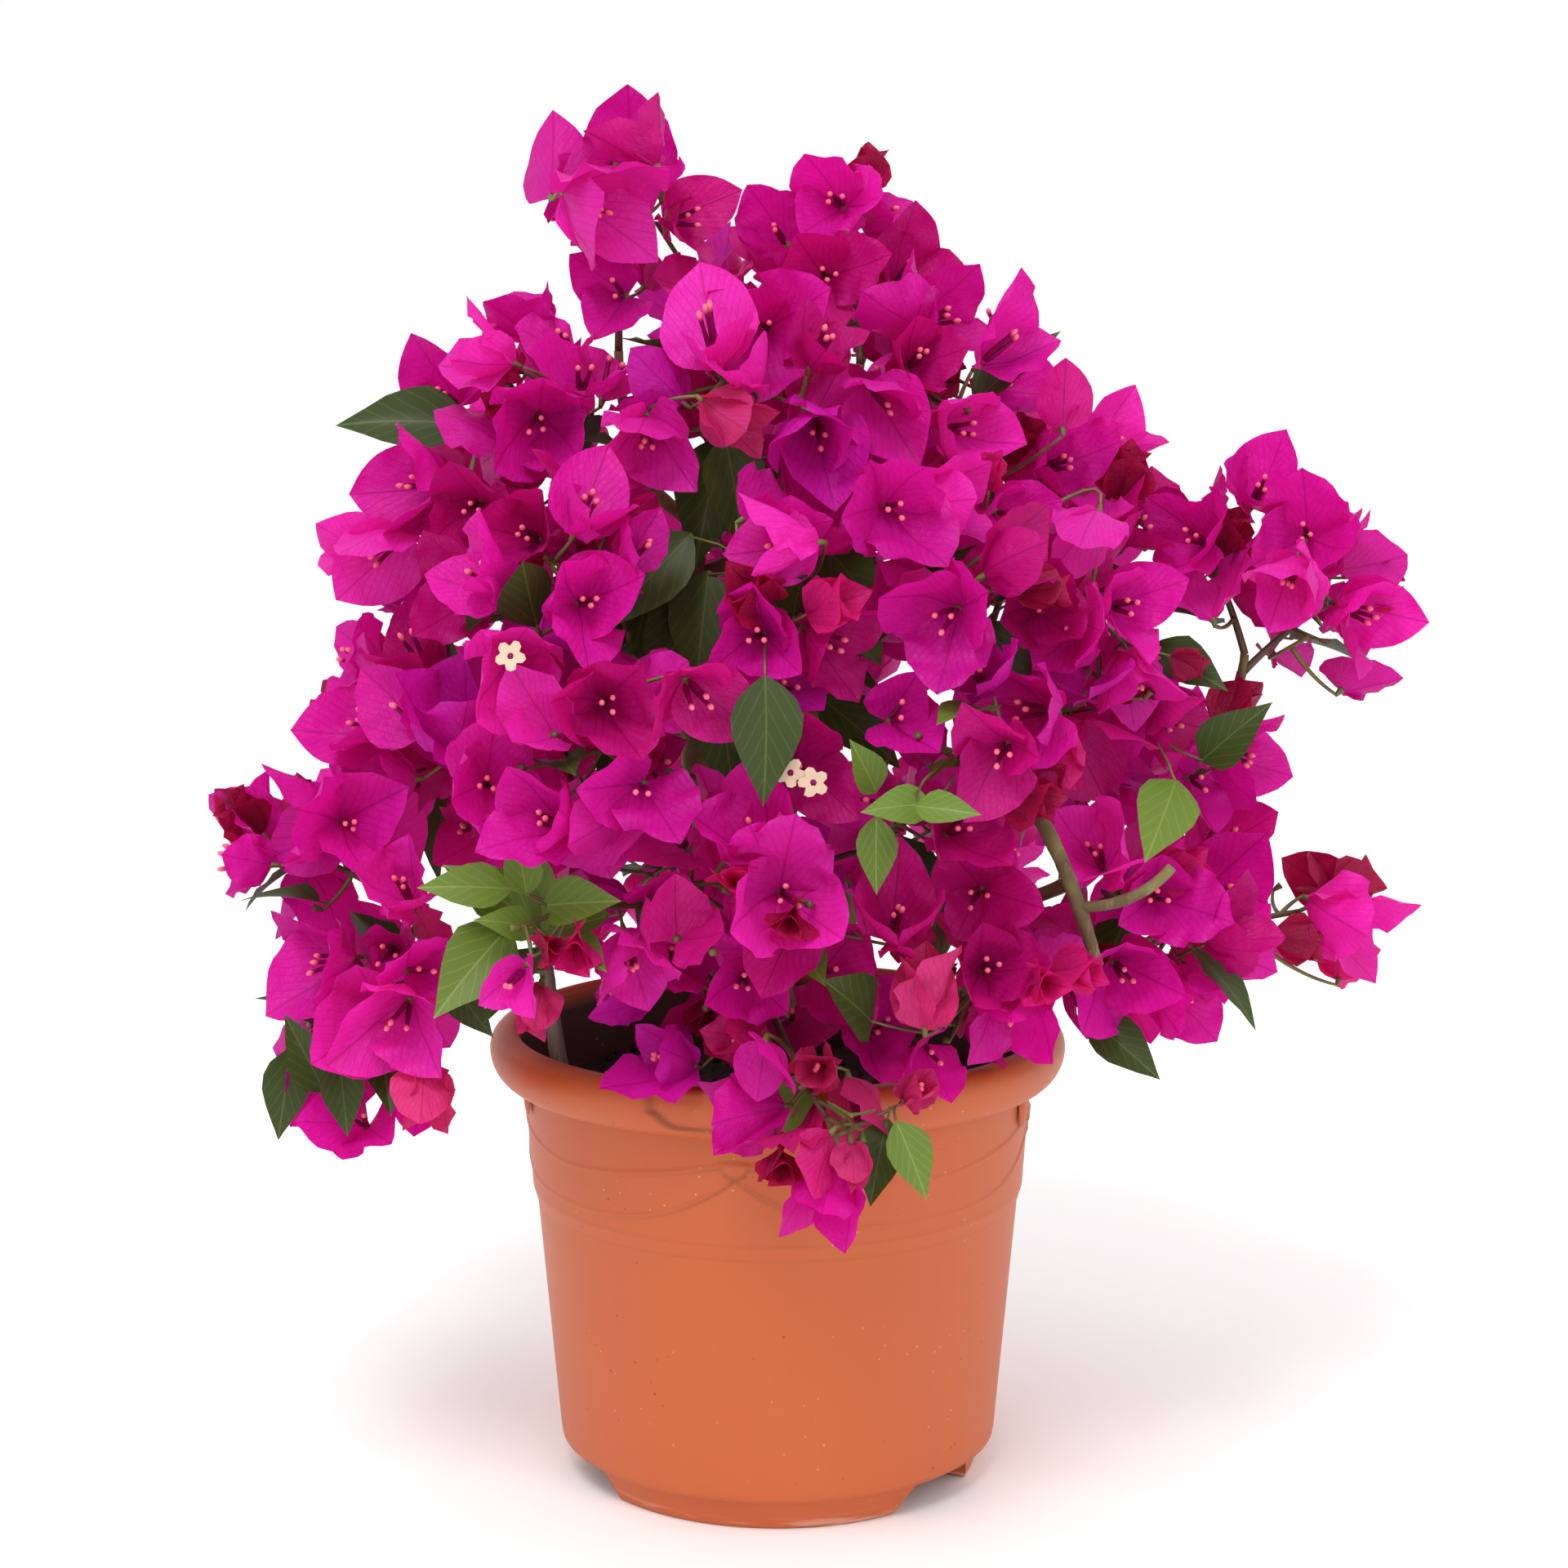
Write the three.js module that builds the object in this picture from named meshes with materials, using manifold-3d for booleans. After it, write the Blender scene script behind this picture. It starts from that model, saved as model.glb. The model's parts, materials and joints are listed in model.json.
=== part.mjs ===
// A bougainvillea bush in full blossom, standing in its round plastic pot.
// Millimetres, +Z up. The origin is the middle of the pot's underside and the bush faces -Y.
//
// The pot and its soil are turned shapes. Each stem and bough is one tapering limb. Each mass is one
// solid: a stem, three-sided twigs that branch from it by a seeded rule, blossoms of three bracts at
// the twigs' ends and leaves along them. A mass keeps to its own space: inside its own ellipsoid, and
// on its own side of the planes that divide it from every other mass.
import * as THREE from 'three';
import { mergeVertices } from 'three/addons/utils/BufferGeometryUtils.js';
import Module from 'manifold-3d';

const wasm = await Module();
wasm.setup();

// ---------- driving dimensions ----------

const GAP = 0.3; // air between pieces that touch
const UP = [0, 0, 1];

const POT = {
  height: 149.5,
  rim: { radius: 95, shoulder: 143, crest: 89.5, inner: 85.7, bandFoot: 86.5, bandLow: 132.7 },
  garland: { top: 83.7, low: 81.4, foot: 97 }, // the slightly proud zone under the rim
  wall: { top: 79.8, topHeight: 92, low: 72.9, lowHeight: 13 },
  groove: { radius: 69.2, height: 10 },
  foot: { outer: 66.1, inner: 60 },
  pad: 16, // the middle of the underside, level with the feet
  skin: 3.2,
  floorUnder: 10.6,
  floorTop: 13.6,
  notches: { count: 3, first: 52, halfLow: 18, halfTop: 11, top: 10.3 }, // degrees from the front
};
const SOIL_TOP = 126;
const FOOT_OF_STEMS = SOIL_TOP + GAP;

const BRACT = { length: 38, spread: 0.14, width: 0.7, fold: 0.2, curl: 0.16, thickness: 1.3 };
const LEAF = { length: 41, spread: 0.2, width: 0.56, fold: 0.25, curl: 0.12, thickness: 1.3 };
const TWIG = { base: 1.1, tip: 0.85, shortest: 8 };
const KNOT = { radius: 2.3, below: 2, above: 1.6 }; // where the bracts of a blossom meet
const BLOSSOM = { flare: 43, flareSpread: 7, tries: 70, apart: 17, shrink: [1, 0.84, 0.7, 0.58] };
const CROWN_HEART = [8, 0, 235]; // blossoms turn away from here and up
const CLEAR_OF_LIMB = 2.6;
const CLEAR_OF_POT = 1.5;
const CLEAR_OF_CELL = 0.35;
const CLEAR_OF_BLADE = 4;
const SHORT_EDGE = 0.06;
const THIN_FACE = 0.012;

// Stems rise from the soil: foot, two bends, tip, and the radius at the foot and at the tip.
const STEMS = [
  { name: 'trunk', foot: [8, 5], bends: [[-30, -8, 200], [-36, -40, 290]], tip: [-18, -26, 345], radii: [7, 3] },
  { name: 'stem_right', foot: [36, 2], bends: [[42, -30, 170], [70, -50, 225]], tip: [88, -30, 276], radii: [5, 2.6] },
  { name: 'stem_left', foot: [-66, -30], bends: [[-76, -40, 160], [-70, -34, 205]], tip: [-95, -34, 246], radii: [2.9, 2.1] },
  { name: 'stem_back', foot: [6, 36], bends: [[-12, 62, 190], [22, 74, 260]], tip: [0, 52, 335], radii: [5, 2.6] },
];

// Boughs leave another limb at a share of its length and bow sideways on the way to their tip.
const BOUGHS = [
  { name: 'bough_top_left', from: ['trunk', 0.84], bow: [-6, 4, -8], tip: [-50, -16, 370], radii: [2.3, 1.5] },
  { name: 'bough_top_right', from: ['trunk', 0.76], bow: [8, 2, -10], tip: [26, -20, 366], radii: [2.4, 1.5] },
  { name: 'bough_left_shoulder', from: ['trunk', 0.56], bow: [0, 6, -8], tip: [-84, -14, 290], radii: [2.4, 1.5] },
  { name: 'bough_front_left', from: ['trunk', 0.46], bow: [0, -4, -8], tip: [-50, -66, 268], radii: [2.2, 1.5] },
  { name: 'bough_front_right', from: ['trunk', 0.64], bow: [6, -4, -10], tip: [24, -64, 280], radii: [2.2, 1.5] },
  { name: 'bough_low_front', from: ['trunk', 0.3], bow: [0, -6, -6], tip: [-34, -80, 208], radii: [2.2, 1.5] },
  { name: 'bough_sprig', from: ['trunk', 0.1], bow: [-4, 0, 10], tip: [-2, -80, 172], radii: [2.2, 1.4] },
  { name: 'bough_right_centre', from: ['stem_right', 0.55], bow: [-8, -4, -4], tip: [54, -78, 246], radii: [2, 1.4] },
  { name: 'bough_low_right', from: ['stem_right', 0.16], bow: [4, -6, 8], tip: [58, -62, 172], radii: [2, 1.4] },
  { name: 'bough_right_low', from: ['stem_right', 0.26], bow: [4, 4, -4], tip: [128, -20, 184], radii: [2.4, 1.5] },
  { name: 'arm_lower', from: ['stem_right', 0.46], bow: [8, 4, -10], tip: [132, -6, 234], radii: [2.6, 2] },
  { name: 'arm_upper', from: ['arm_lower', 1], bow: [4, 0, -2], tip: [152, 0, 272], radii: [1.9, 1.5] },
  { name: 'pruned_limb', from: ['stem_right', 0.74], bow: [-2, -22, 14], tip: [96, -92, 189], radii: [2.5, 2.1] },
  { name: 'pruned_fork', from: ['pruned_limb', 0.8], bow: [2, 0, -3], tip: [117, -99, 220], radii: [1.8, 1.7] },
  { name: 'bough_left_low', from: ['stem_left', 0.45], bow: [-4, 2, -4], tip: [-112, -36, 192], radii: [1.9, 1.4] },
  { name: 'bough_back_left', from: ['stem_back', 0.5], bow: [-4, 4, -8], tip: [-72, 54, 268], radii: [2.3, 1.5] },
  { name: 'bough_back_right', from: ['stem_back', 0.58], bow: [4, 4, -8], tip: [72, 56, 272], radii: [2.3, 1.5] },
  { name: 'bough_back_low', from: ['stem_back', 0.22], bow: [0, 6, -4], tip: [2, 92, 184], radii: [2.2, 1.5] },
];

// Masses: the limb they grow on and where, the middle and half-sizes of their space, and how many
// blossoms and leaves they hold. lift turns the blossoms up, or down where it is negative.
const MASSES = [
  { name: 'top_left', on: ['bough_top_left', 1], middle: [-50, -6, 421], reach: [32, 34, 42], blossoms: 4, leaves: 2 },
  { name: 'top_right', on: ['bough_top_right', 1], middle: [24, -6, 402], reach: [38, 36, 35], blossoms: 4, leaves: 2 },
  { name: 'upper_left', on: ['bough_top_left', 0.86], middle: [-72, -32, 356], reach: [42, 44, 40], blossoms: 4, leaves: 3 },
  { name: 'upper_middle', on: ['trunk', 1], middle: [-12, -52, 364], reach: [44, 46, 46], blossoms: 4, leaves: 2 },
  { name: 'upper_right', on: ['bough_top_right', 0.86], middle: [52, -36, 358], reach: [46, 46, 46], blossoms: 4, leaves: 2 },
  { name: 'left_shoulder', on: ['bough_left_shoulder', 1], middle: [-108, -14, 314], reach: [42, 46, 42], blossoms: 4, leaves: 3 },
  { name: 'left_front', on: ['bough_front_left', 1], middle: [-62, -78, 304], reach: [46, 46, 44], blossoms: 4, leaves: 2 },
  { name: 'middle_front', on: ['bough_front_right', 1], middle: [0, -90, 300], reach: [44, 48, 46], blossoms: 4, leaves: 2 },
  { name: 'right_front', on: ['bough_front_right', 0.86], middle: [54, -82, 306], reach: [44, 46, 46], blossoms: 4, leaves: 2 },
  { name: 'right_shoulder', on: ['stem_right', 1], middle: [98, -10, 316], reach: [38, 46, 42], blossoms: 4, leaves: 2 },
  { name: 'right_side', on: ['stem_right', 0.86], middle: [104, -54, 268], reach: [36, 44, 42], blossoms: 4, leaves: 2 },
  { name: 'arm_inner', on: ['arm_upper', 1], middle: [138, 0, 308], reach: [32, 36, 34], blossoms: 4, leaves: 1 },
  { name: 'arm_outer', on: ['arm_upper', 0.86], middle: [183, 0, 292], reach: [36, 38, 38], blossoms: 4, leaves: 2 },
  { name: 'left_middle', on: ['stem_left', 1], middle: [-118, -36, 258], reach: [44, 46, 40], blossoms: 4, leaves: 3 },
  { name: 'left_low', on: ['bough_left_low', 1], middle: [-149, -30, 212], reach: [42, 42, 34], blossoms: 4, leaves: 2 },
  { name: 'centre_left', on: ['bough_front_left', 0.86], middle: [-52, -104, 254], reach: [44, 42, 42], blossoms: 4, leaves: 2 },
  { name: 'centre', on: ['bough_low_front', 1], middle: [-4, -110, 220], reach: [42, 42, 40], blossoms: 4, leaves: 2 },
  { name: 'right_centre', on: ['bough_right_centre', 1], middle: [54, -102, 256], reach: [42, 42, 40], blossoms: 4, leaves: 5 },
  { name: 'right_pocket', on: ['arm_lower', 0.86], middle: [140, -14, 238], reach: [28, 38, 34], blossoms: 2, leaves: 3 },
  { name: 'right_low', on: ['bough_right_low', 1], middle: [118, -46, 188], reach: [46, 48, 42], blossoms: 4, leaves: 3 },
  { name: 'right_outer', on: ['bough_right_low', 0.86], middle: [182, 4, 188], reach: [32, 30, 30], blossoms: 3, leaves: 1 },
  { name: 'low_left', on: ['bough_left_low', 0.86], middle: [-130, -48, 164], reach: [44, 46, 46], blossoms: 4, leaves: 5 },
  { name: 'leafy_left', on: ['bough_low_front', 0.86], middle: [-72, -108, 208], reach: [40, 38, 38], blossoms: 2, leaves: 7 },
  { name: 'low_middle', on: ['bough_sprig', 1], middle: [-26, -76, 180], reach: [44, 40, 32], blossoms: 4, leaves: 2 },
  { name: 'front_sprig', on: ['bough_sprig', 0.86], middle: [14, -118, 148], reach: [34, 26, 40], blossoms: 4, leaves: 2, lift: -0.7 },
  { name: 'low_right', on: ['bough_low_right', 1], middle: [64, -86, 186], reach: [44, 44, 38], blossoms: 4, leaves: 2 },
  { name: 'inner', on: ['trunk', 0.7], middle: [12, 4, 300], reach: [44, 36, 50], blossoms: 1, leaves: 6 },
  { name: 'back_top', on: ['stem_back', 1], middle: [0, 52, 380], reach: [54, 46, 44], blossoms: 5, leaves: 2 },
  { name: 'back_upper_left', on: ['bough_back_left', 1], middle: [-82, 56, 318], reach: [54, 52, 48], blossoms: 5, leaves: 2 },
  { name: 'back_upper_right', on: ['bough_back_right', 1], middle: [84, 56, 318], reach: [52, 52, 48], blossoms: 5, leaves: 2 },
  { name: 'back_middle', on: ['stem_back', 0.62], middle: [0, 108, 286], reach: [56, 50, 52], blossoms: 5, leaves: 2 },
  { name: 'back_left', on: ['bough_back_left', 0.86], middle: [-112, 60, 228], reach: [52, 54, 50], blossoms: 5, leaves: 2 },
  { name: 'back_right', on: ['bough_back_right', 0.86], middle: [112, 62, 232], reach: [52, 54, 50], blossoms: 5, leaves: 2 },
  { name: 'back_low_left', on: ['bough_back_low', 1], middle: [-52, 112, 190], reach: [54, 48, 44], blossoms: 5, leaves: 2 },
  { name: 'back_low_right', on: ['bough_back_low', 0.86], middle: [56, 112, 192], reach: [54, 48, 44], blossoms: 5, leaves: 2 },
];

const finish = (color, roughness) => new THREE.MeshStandardMaterial({ color, roughness, metalness: 0 });
const PLASTIC = finish(0xd26f47, 0.55);
const PEAT = finish(0x23150f, 0.95);
const BARK = finish(0x6e5a34, 0.8);
const GREY_BARK = finish(0x8d8478, 0.85);
const BLOOM = finish(0xcc1696, 0.6);

// ---------- small vector helpers on [x, y, z] ----------

const add = (a, b) => [a[0] + b[0], a[1] + b[1], a[2] + b[2]];
const sub = (a, b) => [a[0] - b[0], a[1] - b[1], a[2] - b[2]];
const times = (a, k) => [a[0] * k, a[1] * k, a[2] * k];
const dot = (a, b) => a[0] * b[0] + a[1] * b[1] + a[2] * b[2];
const cross = (a, b) => [
  a[1] * b[2] - a[2] * b[1],
  a[2] * b[0] - a[0] * b[2],
  a[0] * b[1] - a[1] * b[0],
];
const size = (a) => Math.sqrt(dot(a, a));
const unit = (a) => times(a, 1 / size(a));
const mix = (a, b, k) => add(times(a, 1 - k), times(b, k));
const radians = (degrees) => (degrees * Math.PI) / 180;

// Mulberry32: a small seeded generator of numbers from 0 to 1.
function seeded(seed) {
  let state = seed >>> 0;
  return () => {
    state = (state + 0x6d2b79f5) >>> 0;
    let word = state;
    word = Math.imul(word ^ (word >>> 15), word | 1);
    word ^= word + Math.imul(word ^ (word >>> 7), word | 61);
    return ((word ^ (word >>> 14)) >>> 0) / 4294967296;
  };
}

// ---------- solids ----------

function toSolid(geometry) {
  const bare = geometry.index ? geometry.clone() : geometry;
  bare.deleteAttribute('normal');
  bare.deleteAttribute('uv');
  const merged = mergeVertices(bare, 1e-4);
  return new wasm.Manifold(new wasm.Mesh({
    numProp: 3,
    vertProperties: new Float32Array(merged.attributes.position.array),
    triVerts: new Uint32Array(merged.index.array),
  }));
}

// The largest body of a solid, without loose scraps or sealed hollows.
function mainBody(solid) {
  const parts = solid.decompose();
  return parts.reduce((best, part) => (part.volume() > best.volume() ? part : best));
}

const normalOf = (points, [a, b, c]) => cross(sub(points[b], points[a]), sub(points[c], points[a]));

// Closes up one edge from corner a to corner b, unless that would fold or pinch the surface.
function closeEdge(points, faces, a, b) {
  const ringOf = (corner) => new Set(faces.filter((face) => face.includes(corner)).flat());
  const [ringA, ringB] = [ringOf(a), ringOf(b)];
  if ([...ringA].filter((corner) => ringB.has(corner)).length !== 4) return null;
  const kept = faces.filter((face) => !(face.includes(a) && face.includes(b)));
  const moved = kept.map((face) => (face.includes(b) ? face.map((corner) => (corner === b ? a : corner)) : face));
  const sound = moved.every((face, i) => {
    if (face === kept[i]) return true;
    const [before, after] = [normalOf(points, kept[i]), normalOf(points, face)];
    return size(before) < 1e-3 || dot(before, after) > 0.3 * size(before) * size(after);
  });
  return sound ? moved : null;
}

// Turns the edge that a needle-thin face shares with its neighbour, where that makes both rounder.
function turnEdge(points, faces, thin, a, b, c) {
  const beyond = faces.findIndex((face, i) => i !== thin && face.includes(a) && face.includes(b));
  const d = faces[beyond].find((corner) => corner !== a && corner !== b);
  if (faces.some((face) => face.includes(c) && face.includes(d))) return false;
  const pair = [[a, d, c], [b, c, d]];
  const along = normalOf(points, faces[beyond]);
  if (!pair.every((face) => dot(normalOf(points, face), along) > 0)) return false;
  [faces[thin], faces[beyond]] = pair;
  return true;
}

// Joins leave short edges and thin faces. They are taken out, so that rounding can't tear the mesh.
function tidied(points, allFaces) {
  let faces = allFaces;
  const edges = (face) => face.map((corner, k) => [corner, face[(k + 1) % 3], face[(k + 2) % 3]]);
  const lengthOf = ([a, b]) => size(sub(points[a], points[b]));
  const stuck = new Set();
  const left = () => faces.flatMap(edges).filter(([a, b]) => a < b && lengthOf([a, b]) < SHORT_EDGE && !stuck.has(`${a} ${b}`));
  for (let short = left(); short.length; short = left()) {
    const [a, b] = short.sort((one, other) => lengthOf(one) - lengthOf(other))[0];
    const closed = closeEdge(points, faces, a, b) ?? closeEdge(points, faces, b, a);
    if (closed) faces = closed;
    else stuck.add(`${a} ${b}`);
  }
  for (let i = 0; i < faces.length; i += 1) {
    const [a, b, c] = edges(faces[i]).sort((one, other) => lengthOf(other) - lengthOf(one))[0];
    if (size(normalOf(points, faces[i])) / lengthOf([a, b]) < THIN_FACE) turnEdge(points, faces, i, a, b, c);
  }
  return faces;
}

function toMesh(name, solid, material) {
  const { vertProperties, triVerts } = solid.getMesh();
  const rows = (list) => Array.from({ length: list.length / 3 }, (_, i) => [...list.slice(3 * i, 3 * i + 3)]);
  const faces = tidied(rows(vertProperties), rows(triVerts));
  const geometry = new THREE.BufferGeometry();
  geometry.setAttribute('position', new THREE.BufferAttribute(new Float32Array(vertProperties), 3));
  geometry.setIndex(faces.flat());
  geometry.computeVertexNormals();
  const mesh = new THREE.Mesh(geometry, material);
  mesh.name = name;
  return mesh;
}

// ---------- limbs ----------

function bezier(points, t) {
  let row = points;
  while (row.length > 1) row = row.slice(1).map((p, i) => mix(row[i], p, t));
  return row[0];
}

function tangent(points, t) {
  const step = 1e-3;
  return unit(sub(bezier(points, Math.min(1, t + step)), bezier(points, Math.max(0, t - step))));
}

// A closed cylinder bent along a Bezier curve. extra widens it and carries it past its end.
function limbSolid({ points, radiusAt, sides, steps }, extra = 0) {
  const geometry = new THREE.CylinderGeometry(1, 1, 1, sides, steps);
  const place = geometry.attributes.position;
  const whole = unit(sub(points[points.length - 1], points[0]));
  const aside = Math.abs(whole[2]) > 0.8 ? [0, 1, 0] : UP;
  for (let i = 0; i < place.count; i += 1) {
    const t = place.getY(i) + 0.5;
    const along = tangent(points, t);
    const side = unit(cross(along, aside));
    const over = cross(side, along);
    const radius = radiusAt(t) + extra;
    const past = t > 0.999 ? extra : 0;
    const out = add(times(side, place.getX(i) * radius), times(over, place.getZ(i) * radius));
    place.setXYZ(i, ...add(add(bezier(points, t), times(along, past)), out));
  }
  return toSolid(geometry);
}

function taper([base, tip], flare = 0) {
  return (t) => base + (tip - base) * t + flare * Math.exp(-t * 22);
}

// A limb with the straight runs that distances are measured to.
function limb(name, points, radiusAt, sides, steps) {
  const count = 10;
  const runs = [];
  for (let i = 0; i < count; i += 1) {
    const [a, b] = [bezier(points, i / count), bezier(points, (i + 1) / count)];
    runs.push({ a, b, radius: Math.max(radiusAt(i / count), radiusAt((i + 1) / count)) });
  }
  return { name, points, radiusAt, sides, steps, runs };
}

function stemLimb({ name, foot, bends, tip, radii }) {
  const flare = radii[0] * 0.35;
  const points = [[...foot, FOOT_OF_STEMS], ...bends, tip];
  return { ...limb(name, points, taper(radii, flare), 7, 9), standing: true };
}

function boughLimb({ name, from, bow, tip, radii }, limbs) {
  const parent = limbs.find((one) => one.name === from[0]);
  const start = bezier(parent.points, from[1]);
  const middle = add(mix(start, tip, 0.5), times(bow, 2));
  return { ...limb(name, [start, middle, tip], taper(radii), 5, 5), parent };
}

// The stem of a mass runs from its limb to a little short of the middle of its space.
function massStem(mass, limbs) {
  const parent = limbs.find((one) => one.name === mass.on[0]);
  const start = bezier(parent.points, mass.on[1]);
  const end = mix(start, mass.middle, 0.85);
  const bend = add(mix(start, end, 0.45), times(tangent(parent.points, mass.on[1]), size(sub(end, start)) * 0.12));
  const base = Math.min(parent.radiusAt(mass.on[1]) * 0.85, 1.7);
  return { ...limb(`${mass.name}_stem`, [start, bend, end], taper([base, 1.1]), 3, 3), parent };
}

// Squares of distances, from a point to a point and to the nearest point of a straight run.
const squareApart = (p, q) => (p[0] - q[0]) ** 2 + (p[1] - q[1]) ** 2 + (p[2] - q[2]) ** 2;

function squareToRun(p, { a, b }) {
  const [x, y, z] = [b[0] - a[0], b[1] - a[1], b[2] - a[2]];
  const along = (p[0] - a[0]) * x + (p[1] - a[1]) * y + (p[2] - a[2]) * z;
  const share = Math.min(1, Math.max(0, along / (x * x + y * y + z * z)));
  return (p[0] - a[0] - share * x) ** 2 + (p[1] - a[1] - share * y) ** 2 + (p[2] - a[2] - share * z) ** 2;
}

const clearOfRuns = (points, runs) => runs.every(
  (run) => points.every((p) => squareToRun(p, run) > (run.radius + CLEAR_OF_LIMB) ** 2),
);

// The runs of other limbs that come near the space of a mass.
function runsNear(mass, limbs) {
  const far = Math.max(...mass.reach);
  return limbs.filter((one) => one !== mass.stem).flatMap((one) => one.runs)
    .filter((run) => squareToRun(mass.middle, run) < (far + run.radius + CLEAR_OF_LIMB) ** 2);
}

// ---------- the space of a mass ----------

const meanReach = (mass) => (mass.reach[0] + mass.reach[1] + mass.reach[2]) / 3;

function inSpace(p, mass) {
  const off = sub(p, mass.middle);
  const within = (off[0] / mass.reach[0]) ** 2 + (off[1] / mass.reach[1]) ** 2 + (off[2] / mass.reach[2]) ** 2;
  if (within > 1) return false;
  const own = dot(off, off) - meanReach(mass) ** 2;
  return MASSES.every((other) => {
    if (other === mass) return true;
    const away = sub(p, other.middle);
    const theirs = dot(away, away) - meanReach(other) ** 2;
    return (theirs - own) / (2 * size(sub(mass.middle, other.middle))) > CLEAR_OF_CELL;
  });
}

const clearOfPot = ([x, y, z]) => Math.hypot(x, y) > POT.rim.radius + CLEAR_OF_POT || z > POT.height + CLEAR_OF_POT;

// A piece fits where it stays in the mass's space and clear of every limb; from its row `free` on it
// also keeps clear of the mass's own stem.
const fits = (points, mass, free = 0) => points.every((p) => inSpace(p, mass) && clearOfPot(p))
  && clearOfRuns(points, mass.runs) && clearOfRuns(points.slice(free), mass.stem.runs);

// ---------- bracts and leaves ----------

// Half the width of a blade at a share of its length: ovate, with a drawn-out tip.
const outline = (u) => 2.88 * u ** 0.6 * (1 - u);

// A point of a blade: u runs from root to tip, v from edge to edge.
function bladePoint(blade, u, v) {
  const { root, ahead, face, form, length } = blade;
  const across = v * outline(u) * form.width * length * 0.5;
  const lift = form.fold * Math.abs(across) - form.curl * length * u * u;
  const side = cross(face, ahead);
  return add(add(add(root, times(ahead, u * length)), times(side, across)), times(face, lift));
}

// Points all over a blade, in rows from its root to its tip, and the ball that holds them.
const ROW = 7;
function bladeSamples(blade) {
  const points = [];
  for (let i = 1; i <= 9; i += 1) {
    for (let j = 0; j < ROW; j += 1) points.push(bladePoint(blade, i / 9, (2 * j) / (ROW - 1) - 1));
  }
  return points;
}

function cloud(points) {
  const middle = times(points.reduce(add), 1 / points.length);
  return { points, middle, radius: Math.max(...points.map((p) => size(sub(p, middle)))) };
}

function clearOfClouds(one, others) {
  const limit = CLEAR_OF_BLADE ** 2;
  return others.every((other) => {
    if (squareApart(one.middle, other.middle) > (one.radius + other.radius + CLEAR_OF_BLADE) ** 2) return true;
    return other.points.every((q) => one.points.every((p) => squareApart(p, q) > limit));
  });
}

// The widest place of a blade, where its solid has its two side points and its two middle points.
const WIDEST = 0.43;

function bladeRing(blade) {
  const middle = bladePoint(blade, WIDEST, 0);
  const half = times(blade.face, blade.form.thickness * 0.5);
  return [sub(middle, half), bladePoint(blade, WIDEST, 1), add(middle, half), bladePoint(blade, WIDEST, -1)];
}

// A leaf is an octahedron drawn out into a kite: root, tip, two sides and a middle point on each face.
function leafSolid(blade) {
  const geometry = new THREE.OctahedronGeometry(1);
  const place = geometry.attributes.position;
  const [under, right, over, left] = bladeRing(blade);
  const corners = { '1,0,0': bladePoint(blade, 1, 0), '-1,0,0': blade.root, '0,1,0': right, '0,-1,0': left };
  corners['0,0,1'] = over;
  corners['0,0,-1'] = under;
  for (let i = 0; i < place.count; i += 1) {
    const key = [place.getX(i), place.getY(i), place.getZ(i)].map((c) => Math.round(c) + 0).join();
    place.setXYZ(i, ...corners[key]);
  }
  return toSolid(geometry);
}

// ---------- blossoms and twigs ----------

const THIRD = (2 * Math.PI) / 3;

function aroundAxis(axis, turn) {
  const side = unit(cross(axis, Math.abs(axis[2]) > 0.8 ? [1, 0, 0] : UP));
  return add(times(side, Math.cos(turn)), times(cross(axis, side), Math.sin(turn)));
}

// Three bracts that flare round an axis, their inner faces turned to it.
function bractsAt(node, axis, length, flare, spin) {
  return [0, 1, 2].map((k) => {
    const out = aroundAxis(axis, spin + k * THIRD);
    const ahead = add(times(axis, Math.cos(flare)), times(out, Math.sin(flare)));
    const face = sub(times(axis, Math.sin(flare)), times(out, Math.cos(flare)));
    return { root: node, ahead, face, form: BRACT, length };
  });
}

// Shoots are drawn with few steps, and what grows on one starts on the straight line between steps.
const STEM_STEPS = [0, 1 / 3, 2 / 3, 1];
const TWIG_STEPS = [0, 0.6, 1];
const stepsAlong = (points, steps) => steps.map((t) => bezier(points, t));

function onShoot(steps, t) {
  const place = t * (steps.length - 1);
  const i = Math.min(Math.floor(place), steps.length - 2);
  return mix(steps[i], steps[i + 1], place - i);
}

// A twig leaves the mass's stem, or an earlier twig, at the nearest place behind it.
function twigTo(node, axis, shoots) {
  const end = sub(node, times(axis, KNOT.below));
  let best = null;
  for (const shoot of shoots) {
    for (let i = 3; i <= 8; i += 1) {
      const from = onShoot(shoot, i / 8 - 0.02);
      const way = sub(end, from);
      const length = size(way);
      const cost = length * (1.25 - 0.45 * dot(unit(way), axis));
      const ahead = dot(way, axis) > -0.1 * length;
      if (length > TWIG.shortest && ahead && (!best || cost < best.cost)) best = { from, cost };
    }
  }
  if (!best) return null;
  const way = sub(end, best.from);
  return [best.from, sub(add(best.from, times(way, 0.55)), times(axis, size(way) * 0.12)), end];
}

function twigSamples(twig) {
  const count = 12;
  return Array.from({ length: count }, (_, i) => bezier(twig, (i + 1) / count));
}

// The way out of the crown through a mass, in shares of the mass's half-sizes.
function wayOut(mass) {
  const out = unit(sub(mass.middle, CROWN_HEART));
  return unit([out[0] * mass.reach[0], out[1] * mass.reach[1], out[2] * mass.reach[2]]);
}

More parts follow.
